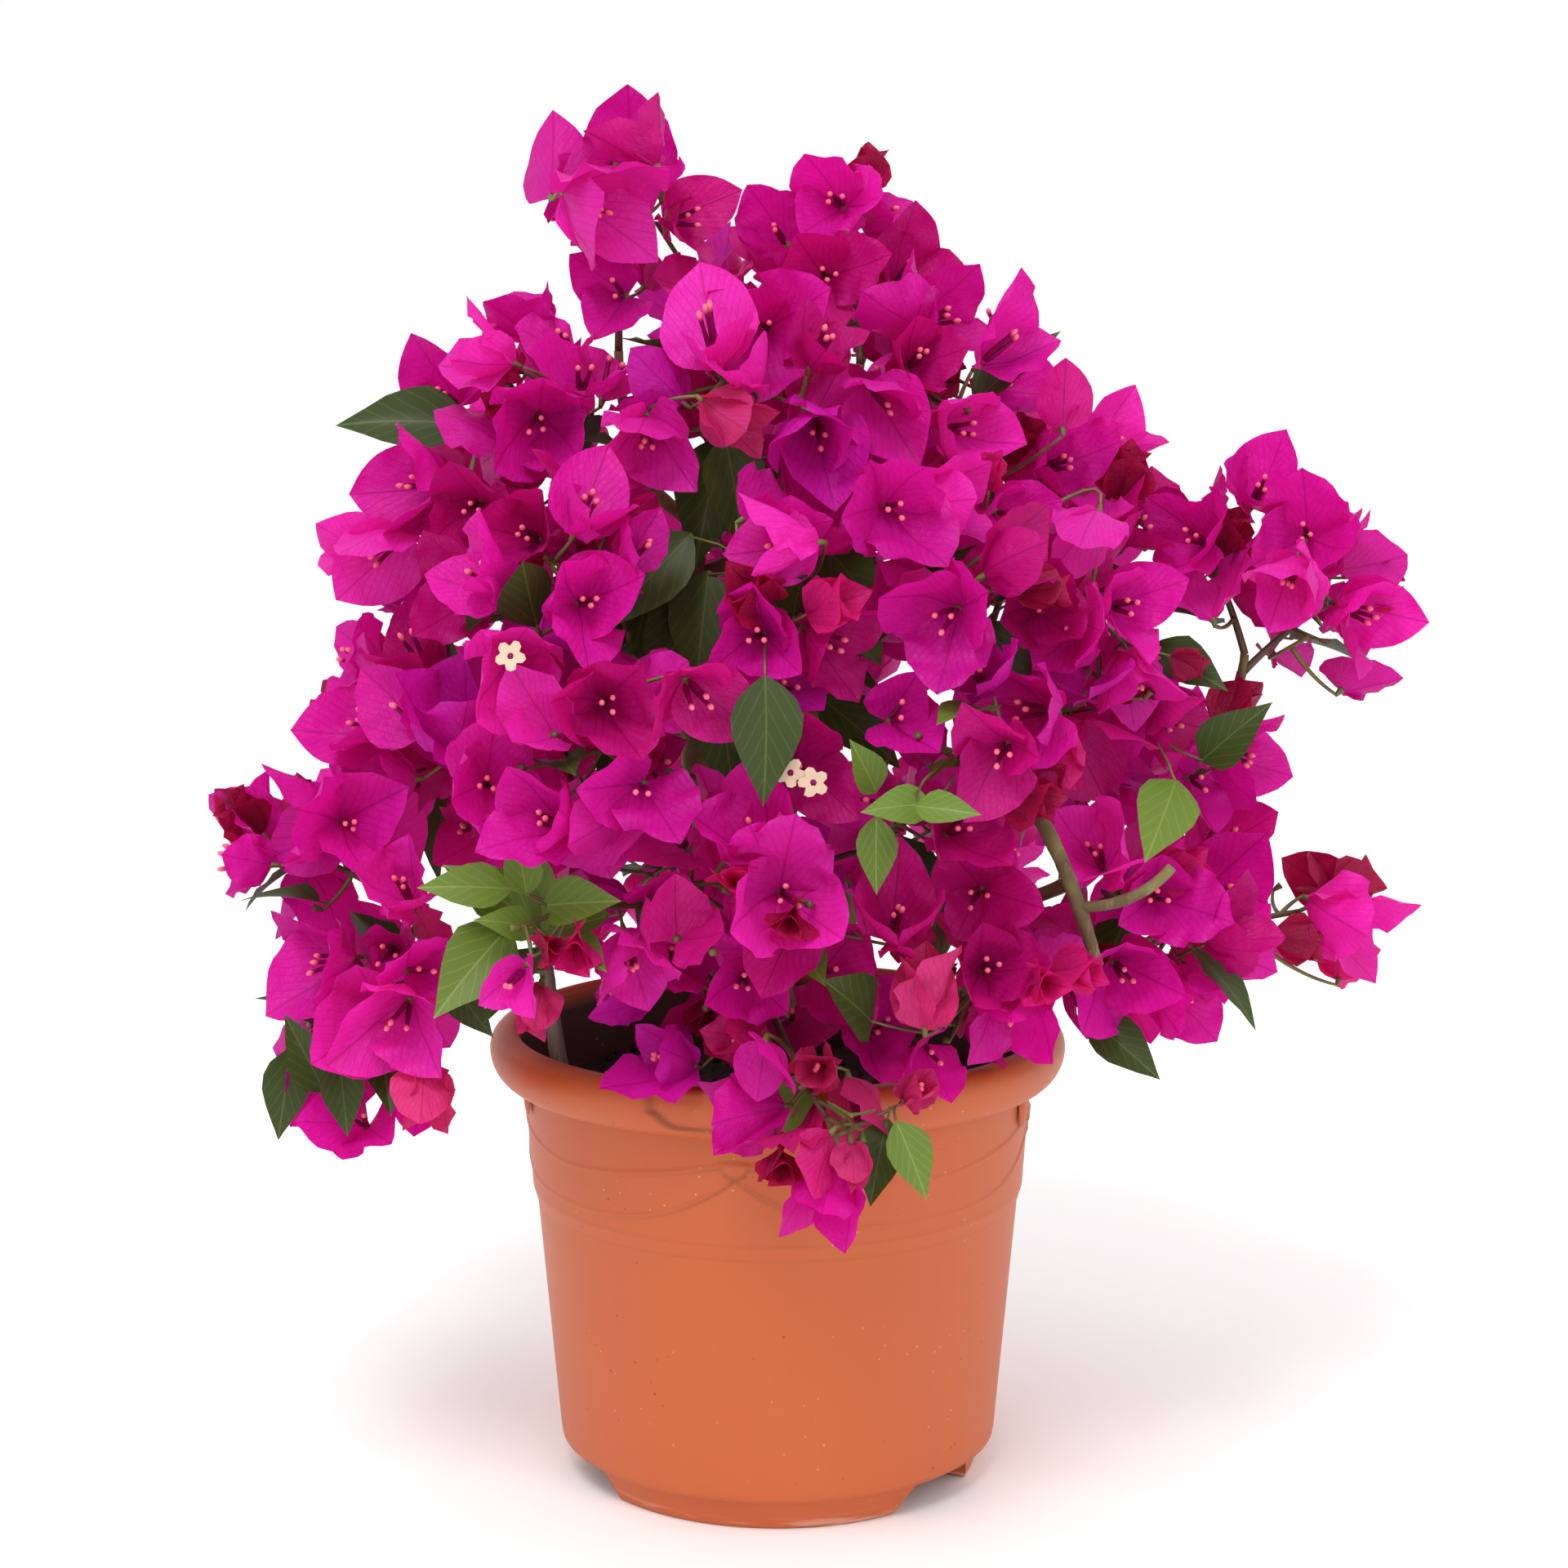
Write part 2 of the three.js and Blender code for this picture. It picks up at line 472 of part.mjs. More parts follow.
// One candidate blossom: a place near the mass's bounds, turned out and up. The first that grows,
// the leader, stands where the mass reaches furthest out of the crown.
function drawBlossom(mass, random, leader) {
  const height = random() * 2 - 1;
  const turn = random() * 2 * Math.PI;
  const flat = Math.sqrt(1 - height * height);
  const depth = leader ? 0.84 + 0.1 * random() : 0.5 + 0.42 * Math.sqrt(random());
  const anyWay = [flat * Math.cos(turn), flat * Math.sin(turn), height];
  const way = times(leader ? unit(add(wayOut(mass), times(anyWay, 0.45))) : anyWay, depth);
  const length = BRACT.length * (1 + BRACT.spread * (random() * 2 - 1));
  const jitter = [random() - 0.5, random() - 0.5, random() - 0.5];
  const spin = random() * 2 * Math.PI;
  const flare = radians(BLOSSOM.flare + BLOSSOM.flareSpread * (random() * 2 - 1));
  const mouth = add(mass.middle, [way[0] * mass.reach[0], way[1] * mass.reach[1], way[2] * mass.reach[2]]);
  const outward = unit(sub(mouth, CROWN_HEART));
  const own = unit(sub(mouth, mass.middle));
  const lean = add(add(times(outward, 0.6), times(own, 0.5)), times(UP, mass.lift ?? 0.35));
  const axis = unit(add(lean, times(jitter, 0.9)));
  const node = sub(mouth, times(axis, length * 0.72));
  const bracts = bractsAt(node, axis, length, flare, spin);
  return { node, axis, spin, bracts, heart: add(node, times(axis, length * 0.5)) };
}

// A bract as long as its place allows, or nothing.
function fittedBract(bract, mass, taken) {
  for (const share of BLOSSOM.shrink) {
    const shorter = { ...bract, length: bract.length * share };
    const points = bladeSamples(shorter);
    if (!fits(points, mass)) continue;
    const room = cloud(points);
    if (clearOfClouds(room, taken)) return { ...shorter, room };
  }
  return null;
}

function growBlossoms(mass) {
  const random = seeded(mass.seed);
  const stemSteps = stepsAlong(mass.stem.points, STEM_STEPS);
  const blossoms = [];
  const taken = [];
  for (let i = 0; i < BLOSSOM.tries * mass.blossoms && blossoms.length < mass.blossoms; i += 1) {
    const blossom = drawBlossom(mass, random, blossoms.length === 0);
    const crowded = blossoms.some((one) => size(sub(one.heart, blossom.heart)) < BLOSSOM.apart);
    if (crowded || !inSpace(blossom.node, mass)) continue;
    const bracts = blossom.bracts.map((bract) => fittedBract(bract, mass, taken));
    const enough = 3 - Math.floor((2 * i) / (BLOSSOM.tries * mass.blossoms));
    if (bracts.filter((one) => one).length < enough) continue;
    const twig = twigTo(blossom.node, blossom.axis, [stemSteps, ...blossoms.map((one) => one.steps)]);
    if (!twig) continue;
    const along = twigSamples(twig);
    if (!fits(along, mass, along.length) || !clearOfClouds(cloud(along), taken)) continue;
    blossoms.push({ ...blossom, bracts, twig, steps: stepsAlong(twig, TWIG_STEPS), along: cloud(along.slice(4)) });
    taken.push(blossoms[blossoms.length - 1].along, ...bracts.filter((one) => one).map((one) => one.room));
  }
  return blossoms;
}

// Leaves stand out along the twigs and the outer half of the stem.
function growLeaves(mass, blossoms) {
  const random = seeded(mass.seed + 500);
  const taken = blossoms.flatMap((one) => [one.along, ...one.bracts.filter((bract) => bract).map((bract) => bract.room)]);
  const shoots = [stepsAlong(mass.stem.points, STEM_STEPS), ...blossoms.map((one) => one.steps)];
  const leaves = [];
  for (let i = 0; i < 70 * mass.leaves && leaves.length < mass.leaves; i += 1) {
    const shoot = shoots[Math.floor(random() * shoots.length)];
    const root = onShoot(shoot, 0.4 + 0.55 * random());
    const jitter = [random() - 0.5, random() - 0.5, random() - 0.5];
    const length = LEAF.length * (1 + LEAF.spread * (random() * 2 - 1));
    const tilt = random();
    const outward = unit(sub(root, CROWN_HEART));
    const ahead = unit(add(add(times(outward, 0.5), times(jitter, 2.2)), times(UP, -0.05)));
    const lean = add(times(UP, 0.8), times(outward, tilt * 0.8));
    const face = unit(sub(lean, times(ahead, dot(lean, ahead))));
    const leaf = { root: sub(root, times(ahead, 1)), ahead, face, form: LEAF, length };
    const points = bladeSamples(leaf);
    if (!fits(points, mass, 2 * ROW)) continue;
    const room = cloud(points.slice(3 * ROW));
    if (!clearOfClouds(room, taken)) continue;
    leaves.push(leaf);
    taken.push(room);
  }
  return leaves;
}

// A twig with its blossom as one closed mesh: three-sided rings along the twig and round the knot at
// its end, with a bract grown out of each side of the knot, or a flat side where there is none.
function spraySolid({ twig, node, axis, spin, bracts }) {
  const corners = [];
  const faces = [];
  const place = (...points) => points.map((p) => corners.push(...p) / 3 - 1);
  const ring = (centre, along, side, radius) => place(...[0, 1, 2].map((k) => {
    const out = add(times(side, Math.cos(k * THIRD)), times(cross(along, side), Math.sin(k * THIRD)));
    return add(centre, times(out, radius));
  }));
  let side = aroundAxis(axis, spin - THIRD / 2);
  const low = ring(sub(node, times(axis, KNOT.below)), axis, side, KNOT.radius);
  const high = ring(add(node, times(axis, KNOT.above)), axis, side, KNOT.radius);
  const rings = [low];
  for (const t of TWIG_STEPS.slice(0, -1).reverse()) {
    const along = tangent(twig, t);
    side = unit(sub(side, times(along, dot(side, along))));
    rings.unshift(ring(bezier(twig, t), along, side, TWIG.base + (TWIG.tip - TWIG.base) * t));
  }
  for (let i = 1; i < rings.length; i += 1) {
    for (let k = 0; k < 3; k += 1) {
      const [a, b, c, d] = [rings[i - 1][k], rings[i - 1][(k + 1) % 3], rings[i][(k + 1) % 3], rings[i][k]];
      faces.push(a, b, c, a, c, d);
    }
  }
  faces.push(rings[0][0], rings[0][2], rings[0][1], ...high);
  bracts.forEach((bract, k) => {
    const root = [low[k], low[(k + 1) % 3], high[(k + 1) % 3], high[k]];
    if (!bract) {
      faces.push(root[0], root[1], root[2], root[0], root[2], root[3]);
      return;
    }
    const around = place(...bladeRing(bract));
    const [tip] = place(bladePoint(bract, 1, 0));
    for (let i = 0; i < 4; i += 1) {
      const next = (i + 1) % 4;
      faces.push(root[i], root[next], around[i], root[next], around[next], around[i], around[i], around[next], tip);
    }
  });
  return new wasm.Manifold(new wasm.Mesh({
    numProp: 3,
    vertProperties: new Float32Array(corners),
    triVerts: new Uint32Array(faces),
  }));
}

function massSolid(mass) {
  const blossoms = growBlossoms(mass);
  const leaves = growLeaves(mass, blossoms);
  const pieces = [...blossoms.map(spraySolid), ...leaves.map(leafSolid)];
  return pieces.reduce((whole, piece) => whole.add(piece), limbSolid(mass.stem));
}

// ---------- pot and soil ----------

const turned = (profile, segments) => new THREE.LatheGeometry(profile.map(([r, z]) => new THREE.Vector2(r, z)), segments)
  .rotateX(Math.PI / 2);

function arc(centre, radii, from, to, steps) {
  return Array.from({ length: steps + 1 }, (_, i) => {
    const angle = radians(from + ((to - from) * i) / steps);
    return [centre[0] + radii[0] * Math.cos(angle), centre[1] + radii[1] * Math.sin(angle)];
  });
}

const POT_SEGMENTS = 32;
const { rim, garland, wall, groove, foot } = POT;
const innerWall = [[garland.low - POT.skin, garland.foot], [wall.low - POT.skin, wall.lowHeight + 2]];

function potSolid() {
  const profile = [
    [0, 0], [POT.pad, 0], [POT.pad, POT.floorUnder], [foot.inner, POT.floorUnder], [foot.inner, 0], [foot.outer, 0],
    [groove.radius, groove.height], [wall.low - 1.2, groove.height + 0.6], [wall.low, wall.lowHeight],
    [wall.top, wall.topHeight], [garland.low, garland.foot], [garland.top, rim.bandLow],
    ...arc([rim.bandFoot, rim.shoulder], [rim.radius - rim.bandFoot, rim.shoulder - rim.bandLow], -90, 0, 4),
    ...arc([rim.crest, rim.shoulder], [rim.radius - rim.crest, POT.height - rim.shoulder], 30, 90, 2),
    [rim.inner, POT.height - 2], ...innerWall, [0, POT.floorTop],
  ];
  let pot = toSolid(turned(profile, POT_SEGMENTS));
  const { count, first, halfLow, halfTop, top } = POT.notches;
  const [low, high] = [foot.outer * Math.sin(radians(halfLow)), groove.radius * Math.sin(radians(halfTop))];
  for (let k = 0; k < count; k += 1) {
    const shape = new THREE.Shape([[-low - 2, -2], [low + 2, -2], [high, top], [-high, top]].map((p) => new THREE.Vector2(...p)));
    const cutter = new THREE.ExtrudeGeometry(shape, { depth: 24, bevelEnabled: false });
    cutter.rotateX(Math.PI / 2);
    cutter.translate(0, -(foot.inner - 6), 0);
    cutter.rotateZ(radians(first + (k * 360) / count));
    pot = pot.subtract(toSolid(cutter));
  }
  return pot;
}

function soilSolid() {
  const [upper, lower] = innerWall.map(([r, z]) => [r - GAP - 0.2, z]);
  const slope = (rim.inner - innerWall[0][0]) / (POT.height - 2 - garland.foot);
  const topRadius = upper[0] + slope * (SOIL_TOP - garland.foot);
  return toSolid(turned([[0, POT.floorTop + GAP], [lower[0], lower[1] + 0.4], upper, [topRadius, SOIL_TOP], [0, SOIL_TOP]], 28));
}

// ---------- the whole bush ----------

const bush = new THREE.Group();
const limbs = STEMS.map(stemLimb);
BOUGHS.forEach((bough) => limbs.push(boughLimb(bough, limbs)));
MASSES.forEach((mass, i) => {
  mass.seed = 1 + i * 7919;
  mass.stem = massStem(mass, limbs);
});
MASSES.forEach((mass) => {
  mass.runs = runsNear(mass, [...limbs, ...MASSES.map((other) => other.stem)]);
});

bush.add(toMesh('pot', potSolid(), PLASTIC));
bush.add(toMesh('soil', soilSolid(), PEAT));

// A child is cut back from the limb that carries it.
for (const one of limbs) {
  let solid = limbSolid(one);
  if (one.standing) {
    const level = new THREE.BoxGeometry(80, 80, 20);
    level.translate(one.points[0][0], one.points[0][1], FOOT_OF_STEMS - 10);
    solid = solid.subtract(toSolid(level));
  } else {
    solid = mainBody(solid.subtract(limbSolid(one.parent, GAP)));
  }
  bush.add(toMesh(one.name, solid, one.name === 'stem_left' ? GREY_BARK : BARK));
}

MASSES.forEach((mass) => {
  const solid = massSolid(mass).subtract(limbSolid(mass.stem.parent, GAP));
  bush.add(toMesh(mass.name, mainBody(solid), BLOOM));
});

export default bush;
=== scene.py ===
"""The looks of a bougainvillea bush in its pot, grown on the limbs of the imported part.

Lengths are millimetres until a mesh is made. +Z is up and the bush faces -Y.
The plant grows by the same seeded rule as its solids: what the rule gives there stands here again in
fine meshes. Blossoms and leaves that the picture shows are placed among them, and a finer round fills each
mass with more blossoms, leaves and young buds.
"""

import json
import math

import bpy
import numpy as np
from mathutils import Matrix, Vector, noise

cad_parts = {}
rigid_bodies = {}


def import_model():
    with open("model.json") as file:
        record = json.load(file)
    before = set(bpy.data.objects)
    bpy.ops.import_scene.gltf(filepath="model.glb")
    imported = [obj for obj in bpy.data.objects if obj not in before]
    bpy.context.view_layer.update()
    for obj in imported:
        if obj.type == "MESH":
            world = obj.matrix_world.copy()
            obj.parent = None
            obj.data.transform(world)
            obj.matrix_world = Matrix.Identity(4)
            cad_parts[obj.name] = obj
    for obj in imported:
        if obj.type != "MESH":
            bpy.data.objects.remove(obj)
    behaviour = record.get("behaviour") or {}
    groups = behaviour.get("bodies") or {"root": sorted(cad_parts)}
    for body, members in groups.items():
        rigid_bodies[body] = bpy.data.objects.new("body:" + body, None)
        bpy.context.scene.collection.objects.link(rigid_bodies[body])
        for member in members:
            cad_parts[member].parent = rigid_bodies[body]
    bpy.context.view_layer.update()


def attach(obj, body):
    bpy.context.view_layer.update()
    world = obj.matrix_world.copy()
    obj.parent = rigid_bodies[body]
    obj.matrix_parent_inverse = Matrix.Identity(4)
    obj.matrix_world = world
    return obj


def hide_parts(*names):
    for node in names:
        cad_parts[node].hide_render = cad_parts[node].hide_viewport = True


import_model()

MM = 0.001
UP = np.array([0.0, 0.0, 1.0])
THIRD = 2 * math.pi / 3

# ---------- driving dimensions, as in the part's source ----------

PICTURE = 1920  # pixels each way, in the frame of the picture places below
FOCAL_PIXELS = 3786
CAMERA_TILT = 9.02  # degrees that the camera looks down
CAMERA_PLACE = (2.1, -1000, 388)

GAP = 0.3
RIM_RADIUS = 95
POT_HEIGHT = 149.5
SOIL_TOP = 126
FOOT_OF_STEMS = SOIL_TOP + GAP
KNOT_BELOW = 2
TWIG_SHORTEST = 8
CROWN_HEART = np.array([8.0, 0, 235])
CLEAR_OF_POT = 1.5
BRACT = {"length": 38, "spread": 0.14, "width": 0.7, "fold": 0.2, "curl": 0.16}
LEAF = {"length": 41, "spread": 0.2, "width": 0.56, "fold": 0.25, "curl": 0.12}
FLARE = 43
FLARE_SPREAD = 7
# The coarse round: tries for each one, least distance between blossoms' hearts, room that is kept to limbs, to
# the planes between spaces and to other blades, and the shares of its length that a bract may have.
COARSE = {"tries": 70, "apart": 17, "limb": 2.6, "cell": 0.35, "blade": 4, "shrink": (1, 0.84, 0.7, 0.58)}
# The fine round likewise. Its blossoms are more closed, by some degrees, and turn more freely.
FINE = {"tries": 50, "apart": 10, "cell": -9, "shrink": (1, 0.88, 0.76), "closed": 12, "turn": 1.6}
BRACT_SWAY = 0.16
BRACT_LAP = 13  # degrees
LIFE_SIZE = 0.8  # a life-size bract's length as a share of one in the solids
LIFT = 0.35  # how far the blossoms of a mass turn up
HANGING = {"front_sprig": -0.7}  # masses whose blossoms turn down by this much
STEM_REACH = 0.85  # share of the way to its mass's middle that a stem runs
STEM_RADII = (1.7, 1.1)
ROOT_FLARE = 0.35  # share of a stem's radius that its foot flares out by

STEMS = {  # foot, two bends, tip, radius at the foot and at the tip
    "trunk": ((8, 5), ((-30, -8, 200), (-36, -40, 290)), (-18, -26, 345), (7, 3)),
    "stem_right": ((36, 2), ((42, -30, 170), (70, -50, 225)), (88, -30, 276), (5, 2.6)),
    "stem_left": ((-66, -30), ((-76, -40, 160), (-70, -34, 205)), (-95, -34, 246), (2.9, 2.1)),
    "stem_back": ((6, 36), ((-12, 62, 190), (22, 74, 260)), (0, 52, 335), (5, 2.6)),
}
BOUGHS = {  # limb and share of its length that the bough leaves at, bow, tip, radii
    "bough_top_left": (("trunk", 0.84), (-6, 4, -8), (-50, -16, 370), (2.3, 1.5)),
    "bough_top_right": (("trunk", 0.76), (8, 2, -10), (26, -20, 366), (2.4, 1.5)),
    "bough_left_shoulder": (("trunk", 0.56), (0, 6, -8), (-84, -14, 290), (2.4, 1.5)),
    "bough_front_left": (("trunk", 0.46), (0, -4, -8), (-50, -66, 268), (2.2, 1.5)),
    "bough_front_right": (("trunk", 0.64), (6, -4, -10), (24, -64, 280), (2.2, 1.5)),
    "bough_low_front": (("trunk", 0.3), (0, -6, -6), (-34, -80, 208), (2.2, 1.5)),
    "bough_sprig": (("trunk", 0.1), (-4, 0, 10), (-2, -80, 172), (2.2, 1.4)),
    "bough_right_centre": (("stem_right", 0.55), (-8, -4, -4), (54, -78, 246), (2, 1.4)),
    "bough_low_right": (("stem_right", 0.16), (4, -6, 8), (58, -62, 172), (2, 1.4)),
    "bough_right_low": (("stem_right", 0.26), (4, 4, -4), (128, -20, 184), (2.4, 1.5)),
    "arm_lower": (("stem_right", 0.46), (8, 4, -10), (132, -6, 234), (2.6, 2)),
    "arm_upper": (("arm_lower", 1), (4, 0, -2), (152, 0, 272), (1.9, 1.5)),
    "pruned_limb": (("stem_right", 0.74), (-2, -22, 14), (96, -92, 189), (2.5, 2.1)),
    "pruned_fork": (("pruned_limb", 0.8), (2, 0, -3), (117, -99, 220), (1.8, 1.7)),
    "bough_left_low": (("stem_left", 0.45), (-4, 2, -4), (-112, -36, 192), (1.9, 1.4)),
    "bough_back_left": (("stem_back", 0.5), (-4, 4, -8), (-72, 54, 268), (2.3, 1.5)),
    "bough_back_right": (("stem_back", 0.58), (4, 4, -8), (72, 56, 272), (2.3, 1.5)),
    "bough_back_low": (("stem_back", 0.22), (0, 6, -4), (2, 92, 184), (2.2, 1.5)),
}
MASSES = {  # limb and share, middle and half-sizes of the space, blossoms and leaves, finer blossoms
    "top_left": (("bough_top_left", 1), (-50, -6, 421), (32, 34, 42), (4, 2), 3),
    "top_right": (("bough_top_right", 1), (24, -6, 402), (38, 36, 35), (4, 2), 6),
    "upper_left": (("bough_top_left", 0.86), (-72, -32, 356), (42, 44, 40), (4, 3), 6),
    "upper_middle": (("trunk", 1), (-12, -52, 364), (44, 46, 46), (4, 2), 8),
    "upper_right": (("bough_top_right", 0.86), (52, -36, 358), (46, 46, 46), (4, 2), 9),
    "left_shoulder": (("bough_left_shoulder", 1), (-108, -14, 314), (42, 46, 42), (4, 3), 7),
    "left_front": (("bough_front_left", 1), (-62, -78, 304), (46, 46, 44), (4, 2), 8),
    "middle_front": (("bough_front_right", 1), (0, -90, 300), (44, 48, 46), (4, 2), 7),
    "right_front": (("bough_front_right", 0.86), (54, -82, 306), (44, 46, 46), (4, 2), 9),
    "right_shoulder": (("stem_right", 1), (98, -10, 316), (38, 46, 42), (4, 2), 9),
    "right_side": (("stem_right", 0.86), (104, -54, 268), (36, 44, 42), (4, 2), 8),
    "arm_inner": (("arm_upper", 1), (138, 0, 308), (32, 36, 34), (4, 1), 5),
    "arm_outer": (("arm_upper", 0.86), (183, 0, 292), (36, 38, 38), (4, 2), 6),
    "left_middle": (("stem_left", 1), (-118, -36, 258), (44, 46, 40), (4, 3), 8),
    "left_low": (("bough_left_low", 1), (-149, -30, 212), (42, 42, 34), (4, 2), 6),
    "centre_left": (("bough_front_left", 0.86), (-52, -104, 254), (44, 42, 42), (4, 2), 8),
    "centre": (("bough_low_front", 1), (-4, -110, 220), (42, 42, 40), (4, 2), 6),
    "right_centre": (("bough_right_centre", 1), (54, -102, 256), (42, 42, 40), (4, 5), 7),
    "right_pocket": (("arm_lower", 0.86), (140, -14, 238), (28, 38, 34), (2, 3), 3),
    "right_low": (("bough_right_low", 1), (118, -46, 188), (46, 48, 42), (4, 3), 9),
    "right_outer": (("bough_right_low", 0.86), (182, 4, 188), (32, 30, 30), (3, 1), 2),
    "low_left": (("bough_left_low", 0.86), (-130, -48, 164), (44, 46, 46), (4, 5), 5),
    "leafy_left": (("bough_low_front", 0.86), (-72, -108, 208), (40, 38, 38), (2, 7), 3),
    "low_middle": (("bough_sprig", 1), (-26, -76, 180), (44, 40, 32), (4, 2), 6),
    "front_sprig": (("bough_sprig", 0.86), (14, -118, 148), (34, 26, 40), (4, 2), 3),
    "low_right": (("bough_low_right", 1), (64, -86, 186), (44, 44, 38), (4, 2), 8),
    "inner": (("trunk", 0.7), (12, 4, 300), (44, 36, 50), (1, 6), 2),
    "back_top": (("stem_back", 1), (0, 52, 380), (54, 46, 44), (5, 2), 9),
    "back_upper_left": (("bough_back_left", 1), (-82, 56, 318), (54, 52, 48), (5, 2), 10),
    "back_upper_right": (("bough_back_right", 1), (84, 56, 318), (52, 52, 48), (5, 2), 10),
    "back_middle": (("stem_back", 0.62), (0, 108, 286), (56, 50, 52), (5, 2), 11),
    "back_left": (("bough_back_left", 0.86), (-112, 60, 228), (52, 54, 50), (5, 2), 10),
    "back_right": (("bough_back_right", 0.86), (112, 62, 232), (52, 54, 50), (5, 2), 10),
    "back_low_left": (("bough_back_low", 1), (-52, 112, 190), (54, 48, 44), (5, 2), 9),
    "back_low_right": (("bough_back_low", 0.86), (56, 112, 192), (54, 48, 44), (5, 2), 9),
}

